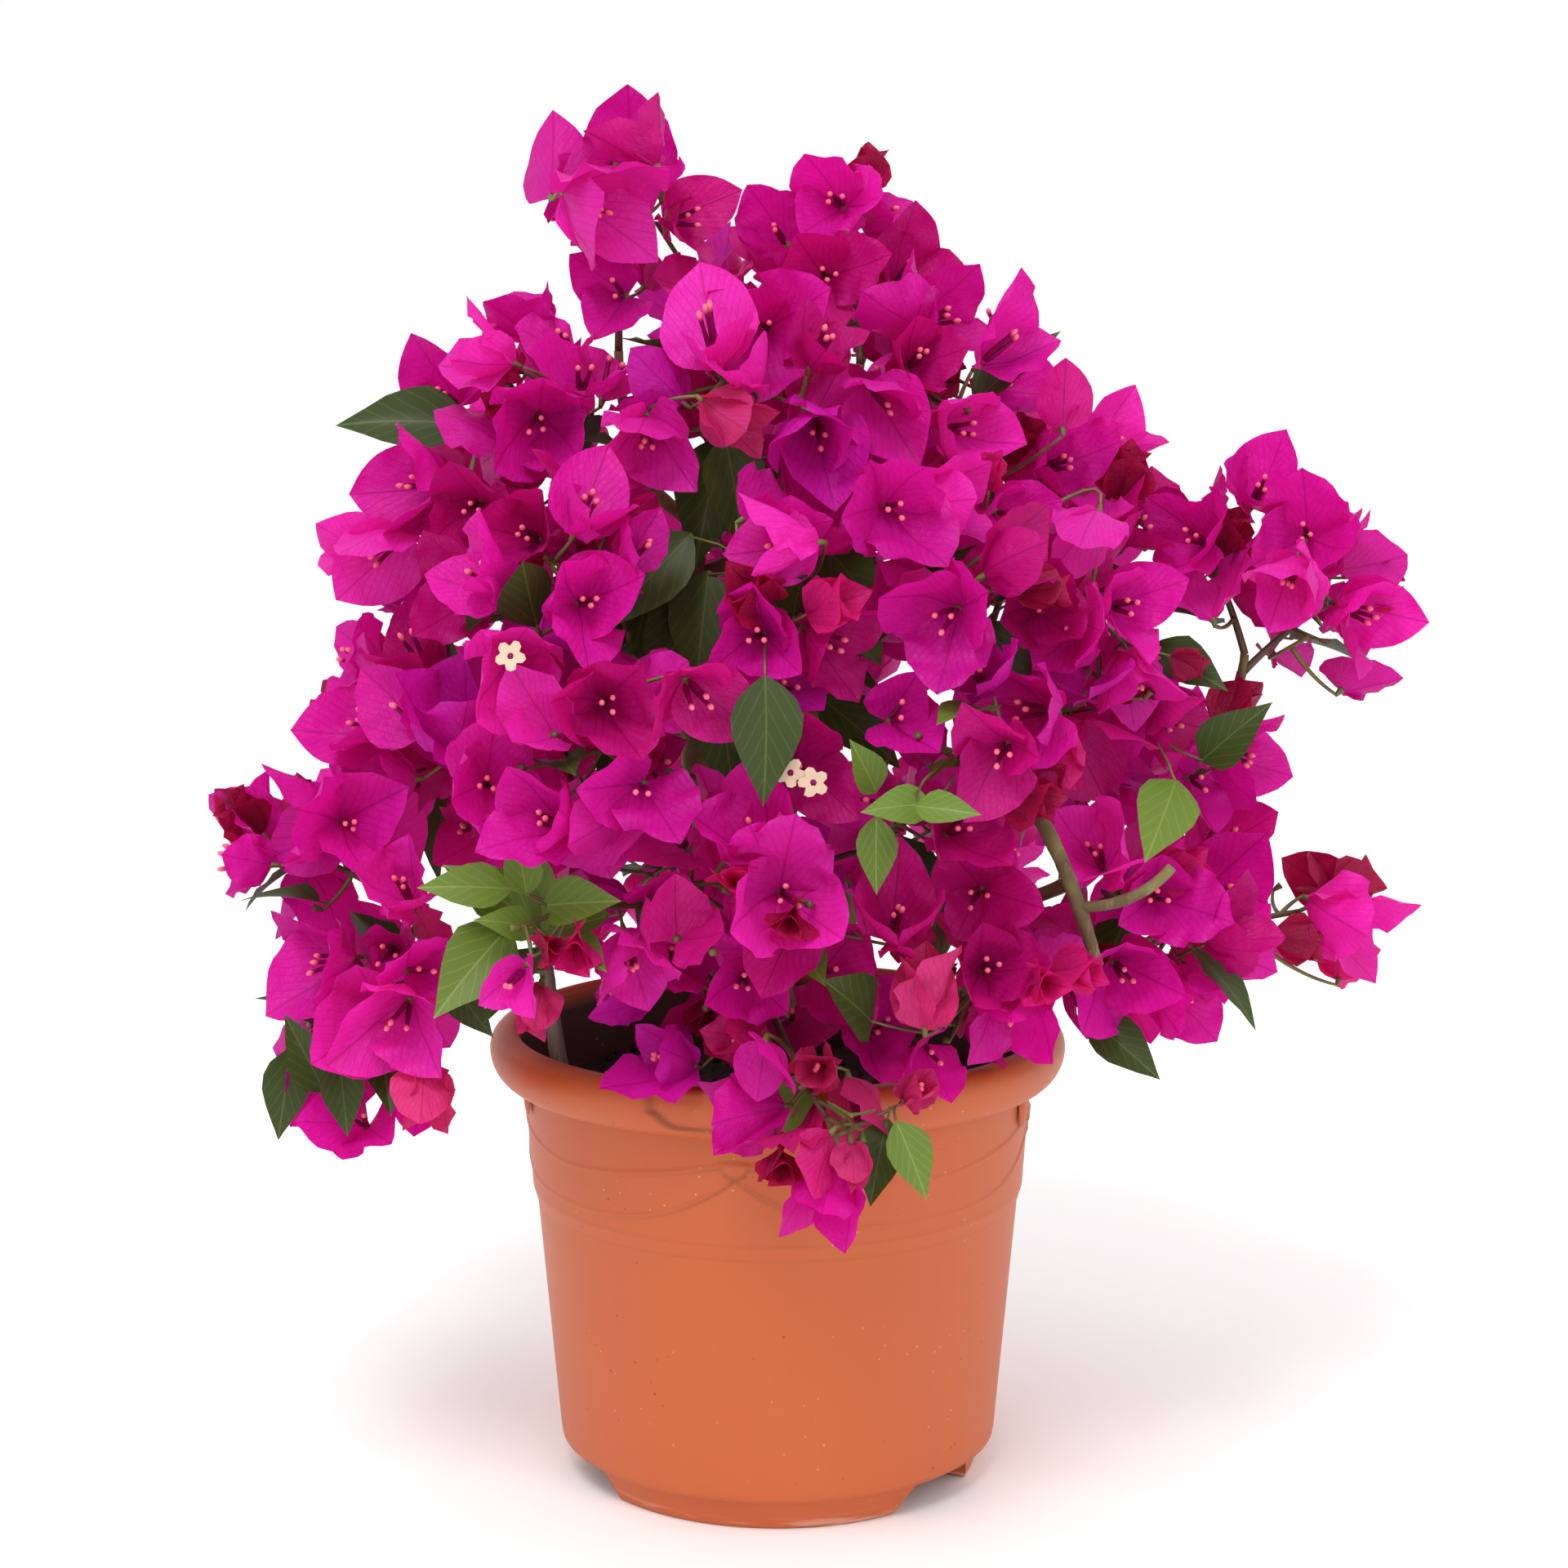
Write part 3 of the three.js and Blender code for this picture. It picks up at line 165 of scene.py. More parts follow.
# Blossoms and leaves that show from the front, placed one by one before the others grow round them.
# A blossom's picture x and y, depth y in mm, azimuth and elevation it faces, spin, length, flare and tone.
FRONT_BLOSSOMS = (
    (1100, 625, -108, 15, 0, 250, 31, 30, "magenta"),
    (725, 735, -108, 20, 8, 200, 30, 26, "magenta"),
    (925, 782, -118, -8, 0, 270, 27, 30, "magenta"),
    (1150, 762, -118, -25, -10, 330, 31, 32, "magenta"),
    (965, 1100, -136, 8, 5, 270, 35, 32, "pink"),
    (660, 522, -58, 5, -12, 270, 33, 24, "magenta"),
    (935, 402, -52, -5, 0, 330, 31, 32, "magenta"),
    (778, 200, -8, 10, 30, 270, 35, 30, "magenta"),
    (742, 262, -20, 55, -22, 270, 36, 24, "pink"),
    (755, 352, -20, -10, 12, 200, 27, 32, "magenta"),
    (1020, 242, -15, -15, 10, 300, 28, 30, "magenta"),
    (1015, 335, -30, 5, 5, 80, 26, 32, "deep"),
    (790, 548, -76, 0, -38, 270, 30, 22, "pink"),
    (945, 665, -118, -75, 0, 20, 28, 16, "pink"),
    (1250, 868, -100, -40, 8, 200, 33, 30, "magenta"),
    (630, 828, -108, 10, -5, 270, 33, 24, "pink"),
    (745, 862, -124, 10, 5, 240, 30, 26, "deep"),
    (860, 862, -124, 30, -30, 270, 25, 40, "deep"),
    (910, 1010, -130, -30, 45, 30, 32, 24, "magenta"),
    (1500, 1092, -42, 20, 15, 240, 34, 28, "magenta"),
    (1340, 1035, -72, -20, 40, 100, 32, 24, "pink"),
    (1390, 742, -68, 30, 5, 90, 28, 30, "magenta"),
    (1335, 668, -72, -20, -45, 30, 28, 24, "pink"),
    (1455, 655, -20, -40, 15, 200, 28, 32, "magenta"),
    (1600, 650, -18, -10, 10, 280, 30, 30, "magenta"),
    (1680, 757, -15, 40, -12, 60, 31, 30, "magenta"),
    (1545, 592, -2, 10, 40, 0, 26, 26, "magenta"),
    (1575, 718, -26, -30, -40, 300, 28, 24, "pink"),
    (485, 1258, -86, -10, -20, 270, 32, 28, "pink"),
    (380, 1180, -56, -55, 0, 300, 32, 30, "magenta"),
    (430, 878, -46, -50, 22, 270, 33, 28, "magenta"),
    (495, 592, -36, -60, 5, 250, 32, 28, "magenta"),
    (460, 692, -42, -45, -35, 30, 33, 22, "pink"),
    (550, 868, -82, -10, 62, 90, 35, 18, "purple"),
    (370, 1010, -46, -72, -5, 30, 32, 32, "magenta"),
    (1660, 1128, -8, 60, -20, 240, 35, 22, "pink"),
    (1612, 1078, 2, -60, 30, 0, 21, 14, "wine"),
    (790, 968, -130, 5, 0, 0, 28, 26, "magenta"),
    (660, 1000, -124, -30, 22, 60, 28, 24, "magenta"),
    (1100, 1112, -112, 10, 50, 30, 31, 22, "deep"),
    (1010, 1468, -122, -25, -52, 20, 29, 22, "magenta"),
    (910, 1366, -113, -65, -5, 90, 28, 18, "magenta"),
    (775, 1186, -106, 20, -48, 0, 27, 24, "pink"),
    (1240, 1250, -96, -10, -42, 40, 30, 24, "magenta"),
    (1135, 1205, -114, 20, 84, 0, 28, 9, "coral"),
    (800, 1292, -76, -60, 20, 90, 31, 16, "purple"),
    (1380, 1200, -66, 10, -10, 290, 31, 30, "magenta"),
    (1165, 388, -26, 50, 12, 250, 29, 28, "magenta"),
    (1190, 527, -56, 35, 0, 280, 29, 26, "pink"),
    (1000, 538, -76, 0, -22, 100, 32, 22, "purple"),
    (1082, 502, -72, 20, -28, 20, 30, 22, "magenta"),
    (900, 516, -86, 65, -30, 0, 25, 14, "coral"),
    (605, 450, -28, -40, 8, 0, 21, 14, "rose"),
    (690, 408, -36, -20, 35, 20, 22, 24, "pink"),
    (1310, 562, -30, 40, 18, 200, 29, 28, "magenta"),
    (1372, 532, -10, 60, 32, 0, 26, 24, "pink"),
    (575, 622, -56, -10, -5, 40, 25, 30, "deep"),
    (1025, 792, -106, 45, -20, 0, 27, 24, "deep"),
    (1530, 930, -22, 60, -10, 40, 28, 24, "magenta"),
    (490, 1080, -76, -15, 42, 20, 27, 22, "pink"),
    (850, 264, -5, 50, 8, 90, 26, 28, "deep"),
    (1090, 252, -4, 60, 18, 30, 25, 24, "magenta"),
    (1290, 930, -96, 30, -70, 0, 21, 13, "rose"),
    (1450, 1232, -52, 40, -32, 20, 28, 24, "magenta"),
    (1215, 1180, -92, 10, 22, 300, 28, 26, "deep"),
    (520, 1345, -86, 10, -62, 0, 22, 18, "coral"),
    (655, 1236, -102, -20, -55, 0, 17, 14, "coral"),
    (1045, 1430, -127, 10, -60, 0, 16, 12, "coral"),
    (1000, 1308, -114, -15, 12, 60, 19, 10, "coral"),
    (1125, 1336, -114, 40, 35, 0, 16, 10, "coral"),
    (905, 1274, -100, -55, 10, 0, 19, 10, "rose"),
    (910, 1205, -104, 0, 0, 30, 27, 28, "magenta"),
    (640, 652, -84, -20, 15, 0, 26, 24, "deep"),
    (1170, 612, -92, 62, 12, 0, 28, 20, "pink"),
    (1130, 432, -50, 20, 22, 60, 28, 22, "deep"),
    (1270, 742, -84, 0, 5, 140, 28, 26, "deep"),
    (1390, 842, -62, 20, -55, 60, 27, 22, "pink"),
    (980, 950, -112, 5, -8, 270, 29, 42, "deep"),
    (1015, 1195, -100, 10, 10, 0, 29, 34, "deep"),
    (960, 1240, -84, -10, 25, 60, 29, 34, "deep"),
    (1080, 1255, -86, 15, 20, 200, 28, 32, "magenta"),
    (1150, 1290, -90, 20, 0, 100, 26, 30, "magenta"),
    (820, 1120, -112, 30, -10, 40, 28, 28, "magenta"),
    (1195, 1100, -96, -10, 0, 60, 29, 34, "deep"),
    (1180, 1010, -104, 20, 20, 10, 29, 28, "deep"),
    (1300, 770, -88, -30, 0, 60, 31, 30, "magenta"),
    (1250, 640, -84, 30, -10, 200, 29, 30, "magenta"),
    (1100, 870, -108, 10, 20, 10, 29, 30, "magenta"),
    (560, 720, -66, -20, 10, 60, 29, 30, "deep"),
    (600, 960, -104, 10, 10, 150, 29, 28, "magenta"),
    (430, 1010, -60, 20, 5, 220, 31, 28, "magenta"),
    (520, 1190, -96, 30, 10, 60, 28, 26, "magenta"),
    (1420, 1100, -64, 0, 10, 40, 31, 30, "magenta"),
    (1480, 960, -34, 20, 0, 90, 29, 30, "magenta"),
    (1440, 890, -40, 60, -20, 60, 26, 30, "deep"),
    (540, 480, 14, -20, 20, 60, 29, 26, "magenta"),
    (870, 330, -10, 0, 30, 20, 28, 26, "deep"),
    (950, 275, -8, -20, 30, 70, 26, 24, "magenta"),
    (1120, 330, -10, 30, 20, 40, 28, 28, "deep"),
    (1235, 470, -20, 30, 10, 40, 28, 28, "magenta"),
)
FRONT_LEAVES = (  # picture x and y, depth y in mm, azimuth and elevation it points to, length, green
    (508, 512, -34, -78, 8, 48, "dark"),
    (940, 892, -122, 8, -68, 42, "dark"),
    (1062, 945, -118, -30, 50, 24, "fresh"),
    (1072, 1040, -120, -8, -75, 26, "fresh"),
    (1108, 985, -120, -60, 5, 24, "fresh"),
    (1152, 990, -118, 60, 0, 22, "fresh"),
    (1160, 948, -112, 50, 30, 20, "fresh"),
    (1500, 905, -30, 40, 40, 34, "dark"),
    (1428, 992, -48, -20, -30, 40, "fresh"),
    (1445, 812, -40, 50, -20, 34, "dark"),
    (585, 1175, -100, -40, -30, 42, "fresh"),
    (700, 1105, -108, 50, 12, 34, "fresh"),
    (640, 1062, -106, -15, 70, 26, "fresh"),
    (580, 1085, -104, -70, 8, 32, "fresh"),
    (630, 1130, -108, -40, 20, 24, "fresh"),
    (1050, 1232, -106, -20, 30, 42, "dark"),
    (1115, 1412, -122, 45, -55, 28, "fresh"),
    (1370, 1276, -66, 55, -30, 34, "dark"),
    (378, 1300, -66, -40, 60, 34, "dark"),
    (350, 1330, -64, -30, -70, 34, "dark"),
    (420, 1335, -72, 20, -60, 28, "dark"),
    (870, 600, -60, -20, -65, 46, "dark"),
    (900, 590, -62, 40, -70, 40, "dark"),
    (800, 700, -70, -60, -40, 46, "dark"),
    (860, 760, -72, -20, -70, 42, "dark"),
    (1040, 700, -60, 40, -30, 36, "dark"),
    (830, 780, -66, -60, -60, 42, "dark"),
    (1250, 1030, -90, 0, -60, 34, "fresh"),
    (1045, 1300, -110, -30, -40, 32, "fresh"),
    (888, 900, -62, 20, -70, 40, "dark"),
    (778, 786, -70, -30, -60, 38, "dark"),
    (1046, 885, -76, 60, -30, 38, "dark"),
    (1227, 800, -60, 30, -40, 38, "dark"),
)
OPEN_FLOWERS = ((968, 946, -127), (996, 958, -128), (625, 803, -125))  # picture x and y, depth y in mm
# Where the picture looks in between the blossoms: picture x and y, depth y that is seen, half-width in mm.
CLEARINGS = (
    (868, 585, -62, 8), (858, 640, -64, 9), (842, 700, -66, 9), (812, 752, -68, 8), (866, 800, -70, 6),
    (1040, 690, -62, 6), (640, 1110, -112, 9), (570, 1160, -106, 8), (685, 1215, -60, 7),
    (690, 1265, -60, 7), (1320, 1130, -70, 6), (1295, 1085, -70, 5), (1270, 1030, -92, 6),
    (1115, 965, -124, 9), (1070, 1020, -124, 7), (890, 1440, -94, 9), (820, 1480, -94, 10),
    (940, 1490, -94, 6), (700, 1480, -84, 9), (1495, 885, -32, 8), (1425, 975, -50, 8),
    (500, 505, -28, 8), (1070, 960, -122, 7),
)
NUDGES = (0, -7, 7, -14, 14, 21)  # mm along y that a placed blossom may move to find room
LEAF_NUDGES = (*NUDGES, -21, -28)
LEAF_FACING = np.array([0.1, -0.9, 0.45])  # the way that the upper side of a placed leaf turns
FINE_BLOSSOMS = {"front": 8, "back": 14}
USUAL_LEAVES = {"front": 5, "back": 10}
FINE_LEAVES = {"inner": 16, "middle_front": 7, "right_centre": 6}  # masses with another number of fine leaves
BUDS = 2
BLOSSOMS_ONLY = ("top_left",)  # has no finer leaves and no buds
FRESH_MASSES = ("leafy_left", "right_centre", "low_middle", "front_sprig", "centre")
GREENS = ("fresh", "dark")

# Tones that are dealt out blossom by blossom: colour, vein colour.
TONES = {
    "magenta": ((0.70, 0.003, 0.385), (0.33, 0.0, 0.13)),
    "purple": ((0.60, 0.003, 0.40), (0.28, 0.0, 0.16)),
    "pink": ((0.83, 0.014, 0.47), (0.42, 0.0, 0.16)),
    "deep": ((0.58, 0.001, 0.235), (0.24, 0.0, 0.08)),
    "rose": ((0.66, 0.008, 0.21), (0.34, 0.0, 0.08)),
    "coral": ((0.64, 0.028, 0.2), (0.38, 0.002, 0.07)),
    "wine": ((0.40, 0.002, 0.07), (0.15, 0.0, 0.02)),
}
TONE_NAMES = list(TONES)
BUD_TONES = ("wine", "wine", "rose")
USUAL_TONES = ("magenta",) * 9 + ("purple",) * 2 + ("pink",) * 3 + ("deep",) * 4
OWN_TONES = {  # masses whose tones are dealt from a list of their own
    "upper_left": ("magenta", "pink", "deep", "pink", "magenta", "magenta", "rose"),
    "low_left": ("magenta", "pink", "magenta", "pink", "magenta", "rose"),
    "leafy_left": ("pink", "pink", "magenta", "magenta", "pink"),
    "front_sprig": ("coral", "rose", "magenta"),
    "low_right": ("magenta", "pink", "deep", "magenta", "rose", "pink"),
    "right_outer": ("rose", "magenta", "pink"),
    "low_middle": ("magenta", "purple", "pink", "magenta", "deep"),
}
POT_COLOUR = (0.49, 0.096, 0.02)
POT_COLOUR_PALE = (0.515, 0.106, 0.026)


# ---------- small vector helpers ----------

def size(a):
    return float(np.linalg.norm(a))


def unit(a):
    return a / np.linalg.norm(a)


def mix(a, b, k):
    return a * (1 - k) + b * k


def square_to(a, way):
    """The unit vector nearest to a that is square to a way."""
    return unit(a - way * float(a @ way))


def any_way(random):
    return np.array([random() - 0.5, random() - 0.5, random() - 0.5])


def cross(a, b):
    """The cross product of two 3-vectors, without np.cross's overhead."""
    return np.array([a[1] * b[2] - a[2] * b[1], a[2] * b[0] - a[0] * b[2], a[0] * b[1] - a[1] * b[0]])


def bezier(points, t):
    """Points of a Bezier curve at t, which is one share of its length or an array of them."""
    t = np.asarray(t, float)[..., None]
    row = list(points)
    while len(row) > 1:
        row = [a * (1 - t) + b * t for a, b in zip(row, row[1:])]
    return row[0]


def tangent(points, t):
    step = 1e-3
    return unit(bezier(points, min(1, t + step)) - bezier(points, max(0, t - step)))


def seeded(seed):
    """Mulberry32: numbers from 0 to 1."""
    word_mask = 0xFFFFFFFF
    state = seed & word_mask

    def draw():
        nonlocal state
        state = (state + 0x6D2B79F5) & word_mask
        word = state
        word = ((word ^ (word >> 15)) * (word | 1)) & word_mask
        word ^= (word + (word ^ (word >> 7)) * (word | 61)) & word_mask
        return (word ^ (word >> 14)) / 4294967296

    return draw


# ---------- limbs ----------

class Limb:
    """A tapering Bezier limb, with the straight runs that distances are measured to."""

    RUNS = 10

    def __init__(self, points, radii, flare=0, parent=None):
        self.points = [np.asarray(p, float) for p in points]
        self.radii = radii
        self.flare = flare
        self.parent = parent
        ends = bezier(self.points, np.linspace(0, 1, self.RUNS + 1))
        widths = np.array([self.radius(i / self.RUNS) for i in range(self.RUNS + 1)])
        self.starts = ends[:-1]
        self.ways = ends[1:] - ends[:-1]
        self.widths = np.maximum(widths[:-1], widths[1:])

    def radius(self, t):
        return self.radii[0] + (self.radii[1] - self.radii[0]) * t + self.flare * math.exp(-t * 22)

    def length(self):
        path = bezier(self.points, np.linspace(0, 1, 20))
        return float(np.linalg.norm(np.diff(path, axis=0), axis=1).sum())


def squares_to_runs(points, starts, ways):
    """Squared distances of n points from m straight runs, n by m."""
    off = points[:, None] - starts[None]
    share = np.clip((off * ways).sum(2) / (ways * ways).sum(1), 0, 1)
    return ((off - share[..., None] * ways) ** 2).sum(2)


def grow_limbs():
    limbs = {}
    for name, (foot, bends, tip, radii) in STEMS.items():
        limbs[name] = Limb([(*foot, FOOT_OF_STEMS), *bends, tip], radii, flare=radii[0] * ROOT_FLARE)
    for name, (start, bow, tip, radii) in BOUGHS.items():
        parent = limbs[start[0]]
        foot = bezier(parent.points, start[1])
        middle = mix(foot, np.array(tip, float), 0.5) + 2 * np.array(bow, float)
        limbs[name] = Limb([foot, middle, tip], radii, parent=parent)
    return limbs


class Mass:
    """The space of one mass of the crown, its stem and what grows on it."""

    def __init__(self, index, name, on, middle, reach, counts, more):
        self.name = name
        self.seed = 1 + index * 7919
        self.middle = np.array(middle, float)
        self.reach = np.array(reach, float)
        self.mean = self.reach.sum() / 3
        self.blossom_count, self.leaf_count = counts
        self.lift = HANGING.get(name, LIFT)
        self.more = more
        self.blossoms = []
        self.leaves = []
        parent = LIMBS[on[0]]
        start = bezier(parent.points, on[1])
        end = mix(start, self.middle, STEM_REACH)
        bend = mix(start, end, 0.45) + tangent(parent.points, on[1]) * size(end - start) * 0.12
        base = min(parent.radius(on[1]) * 0.85, STEM_RADII[0])
        self.stem = Limb([start, bend, end], (base, STEM_RADII[1]), parent=parent)
        self.stem_steps = bezier(self.stem.points, np.array([0, 1 / 3, 2 / 3, 1]))

    def shoots(self):
        """The points along its stem and its twigs that more can grow from."""
        return [self.stem_steps, *(blossom["steps"] for blossom in self.blossoms)]

    def crowded(self, heart, apart):
        return any(size(blossom["heart"] - heart) < apart for blossom in self.blossoms)

    def meet(self, masses, runs):
        """Notes the other masses' spaces, and the limbs that come near this one."""
        others = [m for m in masses if m is not self]
        self.other_middles = np.array([m.middle for m in others])
        self.other_squares = np.array([m.mean**2 for m in others])
        self.other_ways = 2 * np.linalg.norm(self.other_middles - self.middle, axis=1)
        starts, ways, widths, owners = runs
        far = self.reach.max() + widths + COARSE["limb"]
        near = squares_to_runs(self.middle[None], starts, ways)[0] < far**2
        near &= np.array([owner is not self.stem for owner in owners])
        self.run_starts, self.run_ways, self.run_widths = starts[near], ways[near], widths[near]

    def holds(self, points, cell):
        """Whether all points are in the mass's space, cell clear of the planes to other masses."""
        off = points - self.middle
        if (((off / self.reach) ** 2).sum(1) > 1).any():
            return False
        own = (off * off).sum(1) - self.mean**2
        away = points[:, None] - self.other_middles[None]
        theirs = (away * away).sum(2) - self.other_squares
        return bool(((theirs - own[:, None]) / self.other_ways > cell).all())


def clear_of_pot(points):
    outside = np.hypot(points[:, 0], points[:, 1]) > RIM_RADIUS + CLEAR_OF_POT
    return bool((outside | (points[:, 2] > POT_HEIGHT + CLEAR_OF_POT)).all())


def clear_of_runs(points, starts, ways, widths):
    if len(points) == 0 or len(starts) == 0:
        return True
    return bool((squares_to_runs(points, starts, ways) > (widths + COARSE["limb"]) ** 2).all())


def fits(points, mass, free=0):
    """Whether points stay in the mass and clear of all limbs, and past the first `free` of its stem too."""
    if not (mass.holds(points, COARSE["cell"]) and clear_of_pot(points)):
        return False
    stem = mass.stem
    return clear_of_runs(points, mass.run_starts, mass.run_ways, mass.run_widths) and clear_of_runs(
        points[free:], stem.starts, stem.ways, stem.widths
    )


# ---------- blades ----------

def outline(u):
    """Half the width of a blade at a share of its length, as the solids have it."""
    return 2.88 * u**0.6 * (1 - u)


ROWS, ROW = 9, 7  # rows of sample points on a blade, and points in a row
SAMPLES = np.meshgrid(np.arange(1, ROWS + 1) / ROWS, np.linspace(-1, 1, ROW), indexing="ij")
SAMPLE_U, SAMPLE_V = SAMPLES[0].ravel(), SAMPLES[1].ravel()


def blade_points(blade, u, v, width):
    """Points of a blade's face: u runs from root to tip, v from edge to edge, width is half of 1 there."""
    form, length = blade["form"], blade["length"]
    across = v * width * form["width"] * length * 0.5
    lift = form["fold"] * np.abs(across) - form["curl"] * length * u * u
    side = cross(blade["face"], blade["ahead"])
    return (
        blade["root"]
        + np.multiply.outer(u * length, blade["ahead"])
        + np.multiply.outer(across, side)
        + np.multiply.outer(lift, blade["face"])
    )


def blade_samples(blade):
    return blade_points(blade, SAMPLE_U, SAMPLE_V, outline(SAMPLE_U))


def fitted(bract, shrink, has_room):
    """The bract at the first share of its length that has room, with its sample points, or None."""
    for share in shrink:
        shorter = {**bract, "length": bract["length"] * share}
        points = blade_samples(shorter)
        if has_room(points):
            return {**shorter, "points": points}
    return None


class Cloud:
    """Points with the ball that holds them."""

    def __init__(self, points):
        self.points = points
        self.middle = points.sum(0) / len(points)
        self.radius = float(np.sqrt(((points - self.middle) ** 2).sum(1).max()))

    def clear_of(self, others, limit):
        for other in others:
            reach = self.radius + other.radius + limit
            if ((self.middle - other.middle) ** 2).sum() > reach**2:
                continue
            apart = ((self.points[:, None] - other.points[None]) ** 2).sum(2)
            if (apart <= limit**2).any():
                return False
        return True


# ---------- the coarse round: blossoms and leaves as the solids have them ----------

def around_axis(axis, turn):
    side = unit(cross(axis, np.array([1.0, 0, 0]) if abs(axis[2]) > 0.8 else UP))
    return side * math.cos(turn) + cross(axis, side) * math.sin(turn)


def bracts_at(node, axis, length, flare, spin):
    """Three bracts that flare round an axis, their inner faces turned to it."""
    bracts = []
    for k in range(3):
        out = around_axis(axis, spin + k * THIRD)
        ahead = axis * math.cos(flare) + out * math.sin(flare)
        face = axis * math.sin(flare) - out * math.cos(flare)
        bracts.append({"root": node, "ahead": ahead, "face": face, "form": BRACT, "length": length})
    return bracts


def on_shoot(steps, t):
    place = t * (len(steps) - 1)
    i = min(int(place), len(steps) - 2)
    return mix(steps[i], steps[i + 1], place - i)


def twig_to(node, axis, shoots):
    """A twig to a blossom from the nearest place behind it on the mass's stem or an earlier twig."""
    end = node - axis * KNOT_BELOW
    best, best_cost = None, math.inf
    for steps in shoots:
        for i in range(3, 9):
            start = on_shoot(steps, i / 8 - 0.02)
            way = end - start
            length = size(way)
            cost = length * (1.25 - 0.45 * float(unit(way) @ axis))
            ahead = float(way @ axis) > -0.1 * length
            if length > TWIG_SHORTEST and ahead and cost < best_cost:
                best, best_cost = start, cost
    if best is None:
        return None
    way = end - best
    return [best, best + way * 0.55 - axis * size(way) * 0.12, end]


def twig_steps(twig):
    return bezier(twig, np.array([0, 0.6, 1]))


def draw_blossom(mass, random, leader, scale=1.0, closed=0, turned=0.9):
    """One candidate blossom: a place near the mass's bounds, turned out and up."""
    height = random() * 2 - 1
    turn = random() * 2 * math.pi
    flat = math.sqrt(1 - height * height)
    depth = 0.84 + 0.1 * random() if leader else 0.5 + 0.42 * math.sqrt(random())
    way = np.array([flat * math.cos(turn), flat * math.sin(turn), height])
    if leader:
        way = unit(unit(unit(mass.middle - CROWN_HEART) * mass.reach) + way * 0.45)
    way = way * depth
    length = BRACT["length"] * (1 + BRACT["spread"] * (random() * 2 - 1)) * scale
    jitter = any_way(random)
    spin = random() * 2 * math.pi
    flare = math.radians(FLARE - closed + FLARE_SPREAD * (random() * 2 - 1))
    mouth = mass.middle + way * mass.reach
    lean = unit(mouth - CROWN_HEART) * 0.6 + unit(mouth - mass.middle) * 0.5 + UP * mass.lift
    axis = unit(lean + jitter * turned)
    node = mouth - axis * length * 0.72
    bracts = bracts_at(node, axis, length, flare, spin)
    heart = node + axis * length * 0.5
    sizes = {"length": length, "spin": spin, "flare": flare}
    return {"node": node, "axis": axis, "bracts": bracts, "heart": heart, **sizes}


def grow_coarse_blossoms(mass):
    random = seeded(mass.seed)
    taken = []

    def has_room(points):
        return fits(points, mass) and Cloud(points).clear_of(taken, COARSE["blade"])

    tries = COARSE["tries"] * mass.blossom_count
    for i in range(tries):
        if len(mass.blossoms) >= mass.blossom_count:
            break
        blossom = draw_blossom(mass, random, not mass.blossoms)
        if mass.crowded(blossom["heart"], COARSE["apart"]):
            continue
        if not mass.holds(blossom["node"][None], COARSE["cell"]):
            continue
        enough = 3 - (2 * i) // tries
        bracts = []
        for bract in blossom["bracts"]:
            bracts.append(fitted(bract, COARSE["shrink"], has_room))
            if bracts.count(None) > 3 - enough:
                break
        if bracts.count(None) > 3 - enough:
            continue
        twig = twig_to(blossom["node"], blossom["axis"], mass.shoots())
        if twig is None:
            continue
        along = bezier(twig, np.arange(1, 13) / 12)
        if not fits(along, mass, len(along)) or not Cloud(along).clear_of(taken, COARSE["blade"]):
            continue
        blossom.update(bracts=bracts, twig=twig, steps=twig_steps(twig), along=Cloud(along[4:]))
        mass.blossoms.append(blossom)
        taken.append(blossom["along"])
        taken.extend(Cloud(bract["points"]) for bract in bracts if bract)


def draw_leaf(shoots, random, scale=1.0):
    shoot = shoots[int(random() * len(shoots))]
    root = on_shoot(shoot, 0.4 + 0.55 * random())
    jitter = any_way(random)
    length = LEAF["length"] * (1 + LEAF["spread"] * (random() * 2 - 1)) * scale
    tilt = random()
    outward = unit(root - CROWN_HEART)
    ahead = unit(outward * 0.5 + jitter * 2.2 - UP * 0.05)
    face = square_to(UP * 0.8 + outward * tilt * 0.8, ahead)
    return {"root": root - ahead, "ahead": ahead, "face": face, "form": LEAF, "length": length}


def grow_coarse_leaves(mass):
    random = seeded(mass.seed + 500)
    taken = []
    for blossom in mass.blossoms:
        taken.append(blossom["along"])
        taken.extend(Cloud(bract["points"]) for bract in blossom["bracts"] if bract)
    shoots = mass.shoots()
    for _ in range(COARSE["tries"] * mass.leaf_count):
        if len(mass.leaves) >= mass.leaf_count:
            break
        leaf = draw_leaf(shoots, random)
        points = blade_samples(leaf)
        if not fits(points, mass, 2 * ROW):
            continue
        room = Cloud(points[3 * ROW:])
        if room.clear_of(taken, COARSE["blade"]):
            mass.leaves.append(leaf)
            taken.append(room)


# ---------- the fine round: more blossoms, leaves and buds in the room that is left ----------

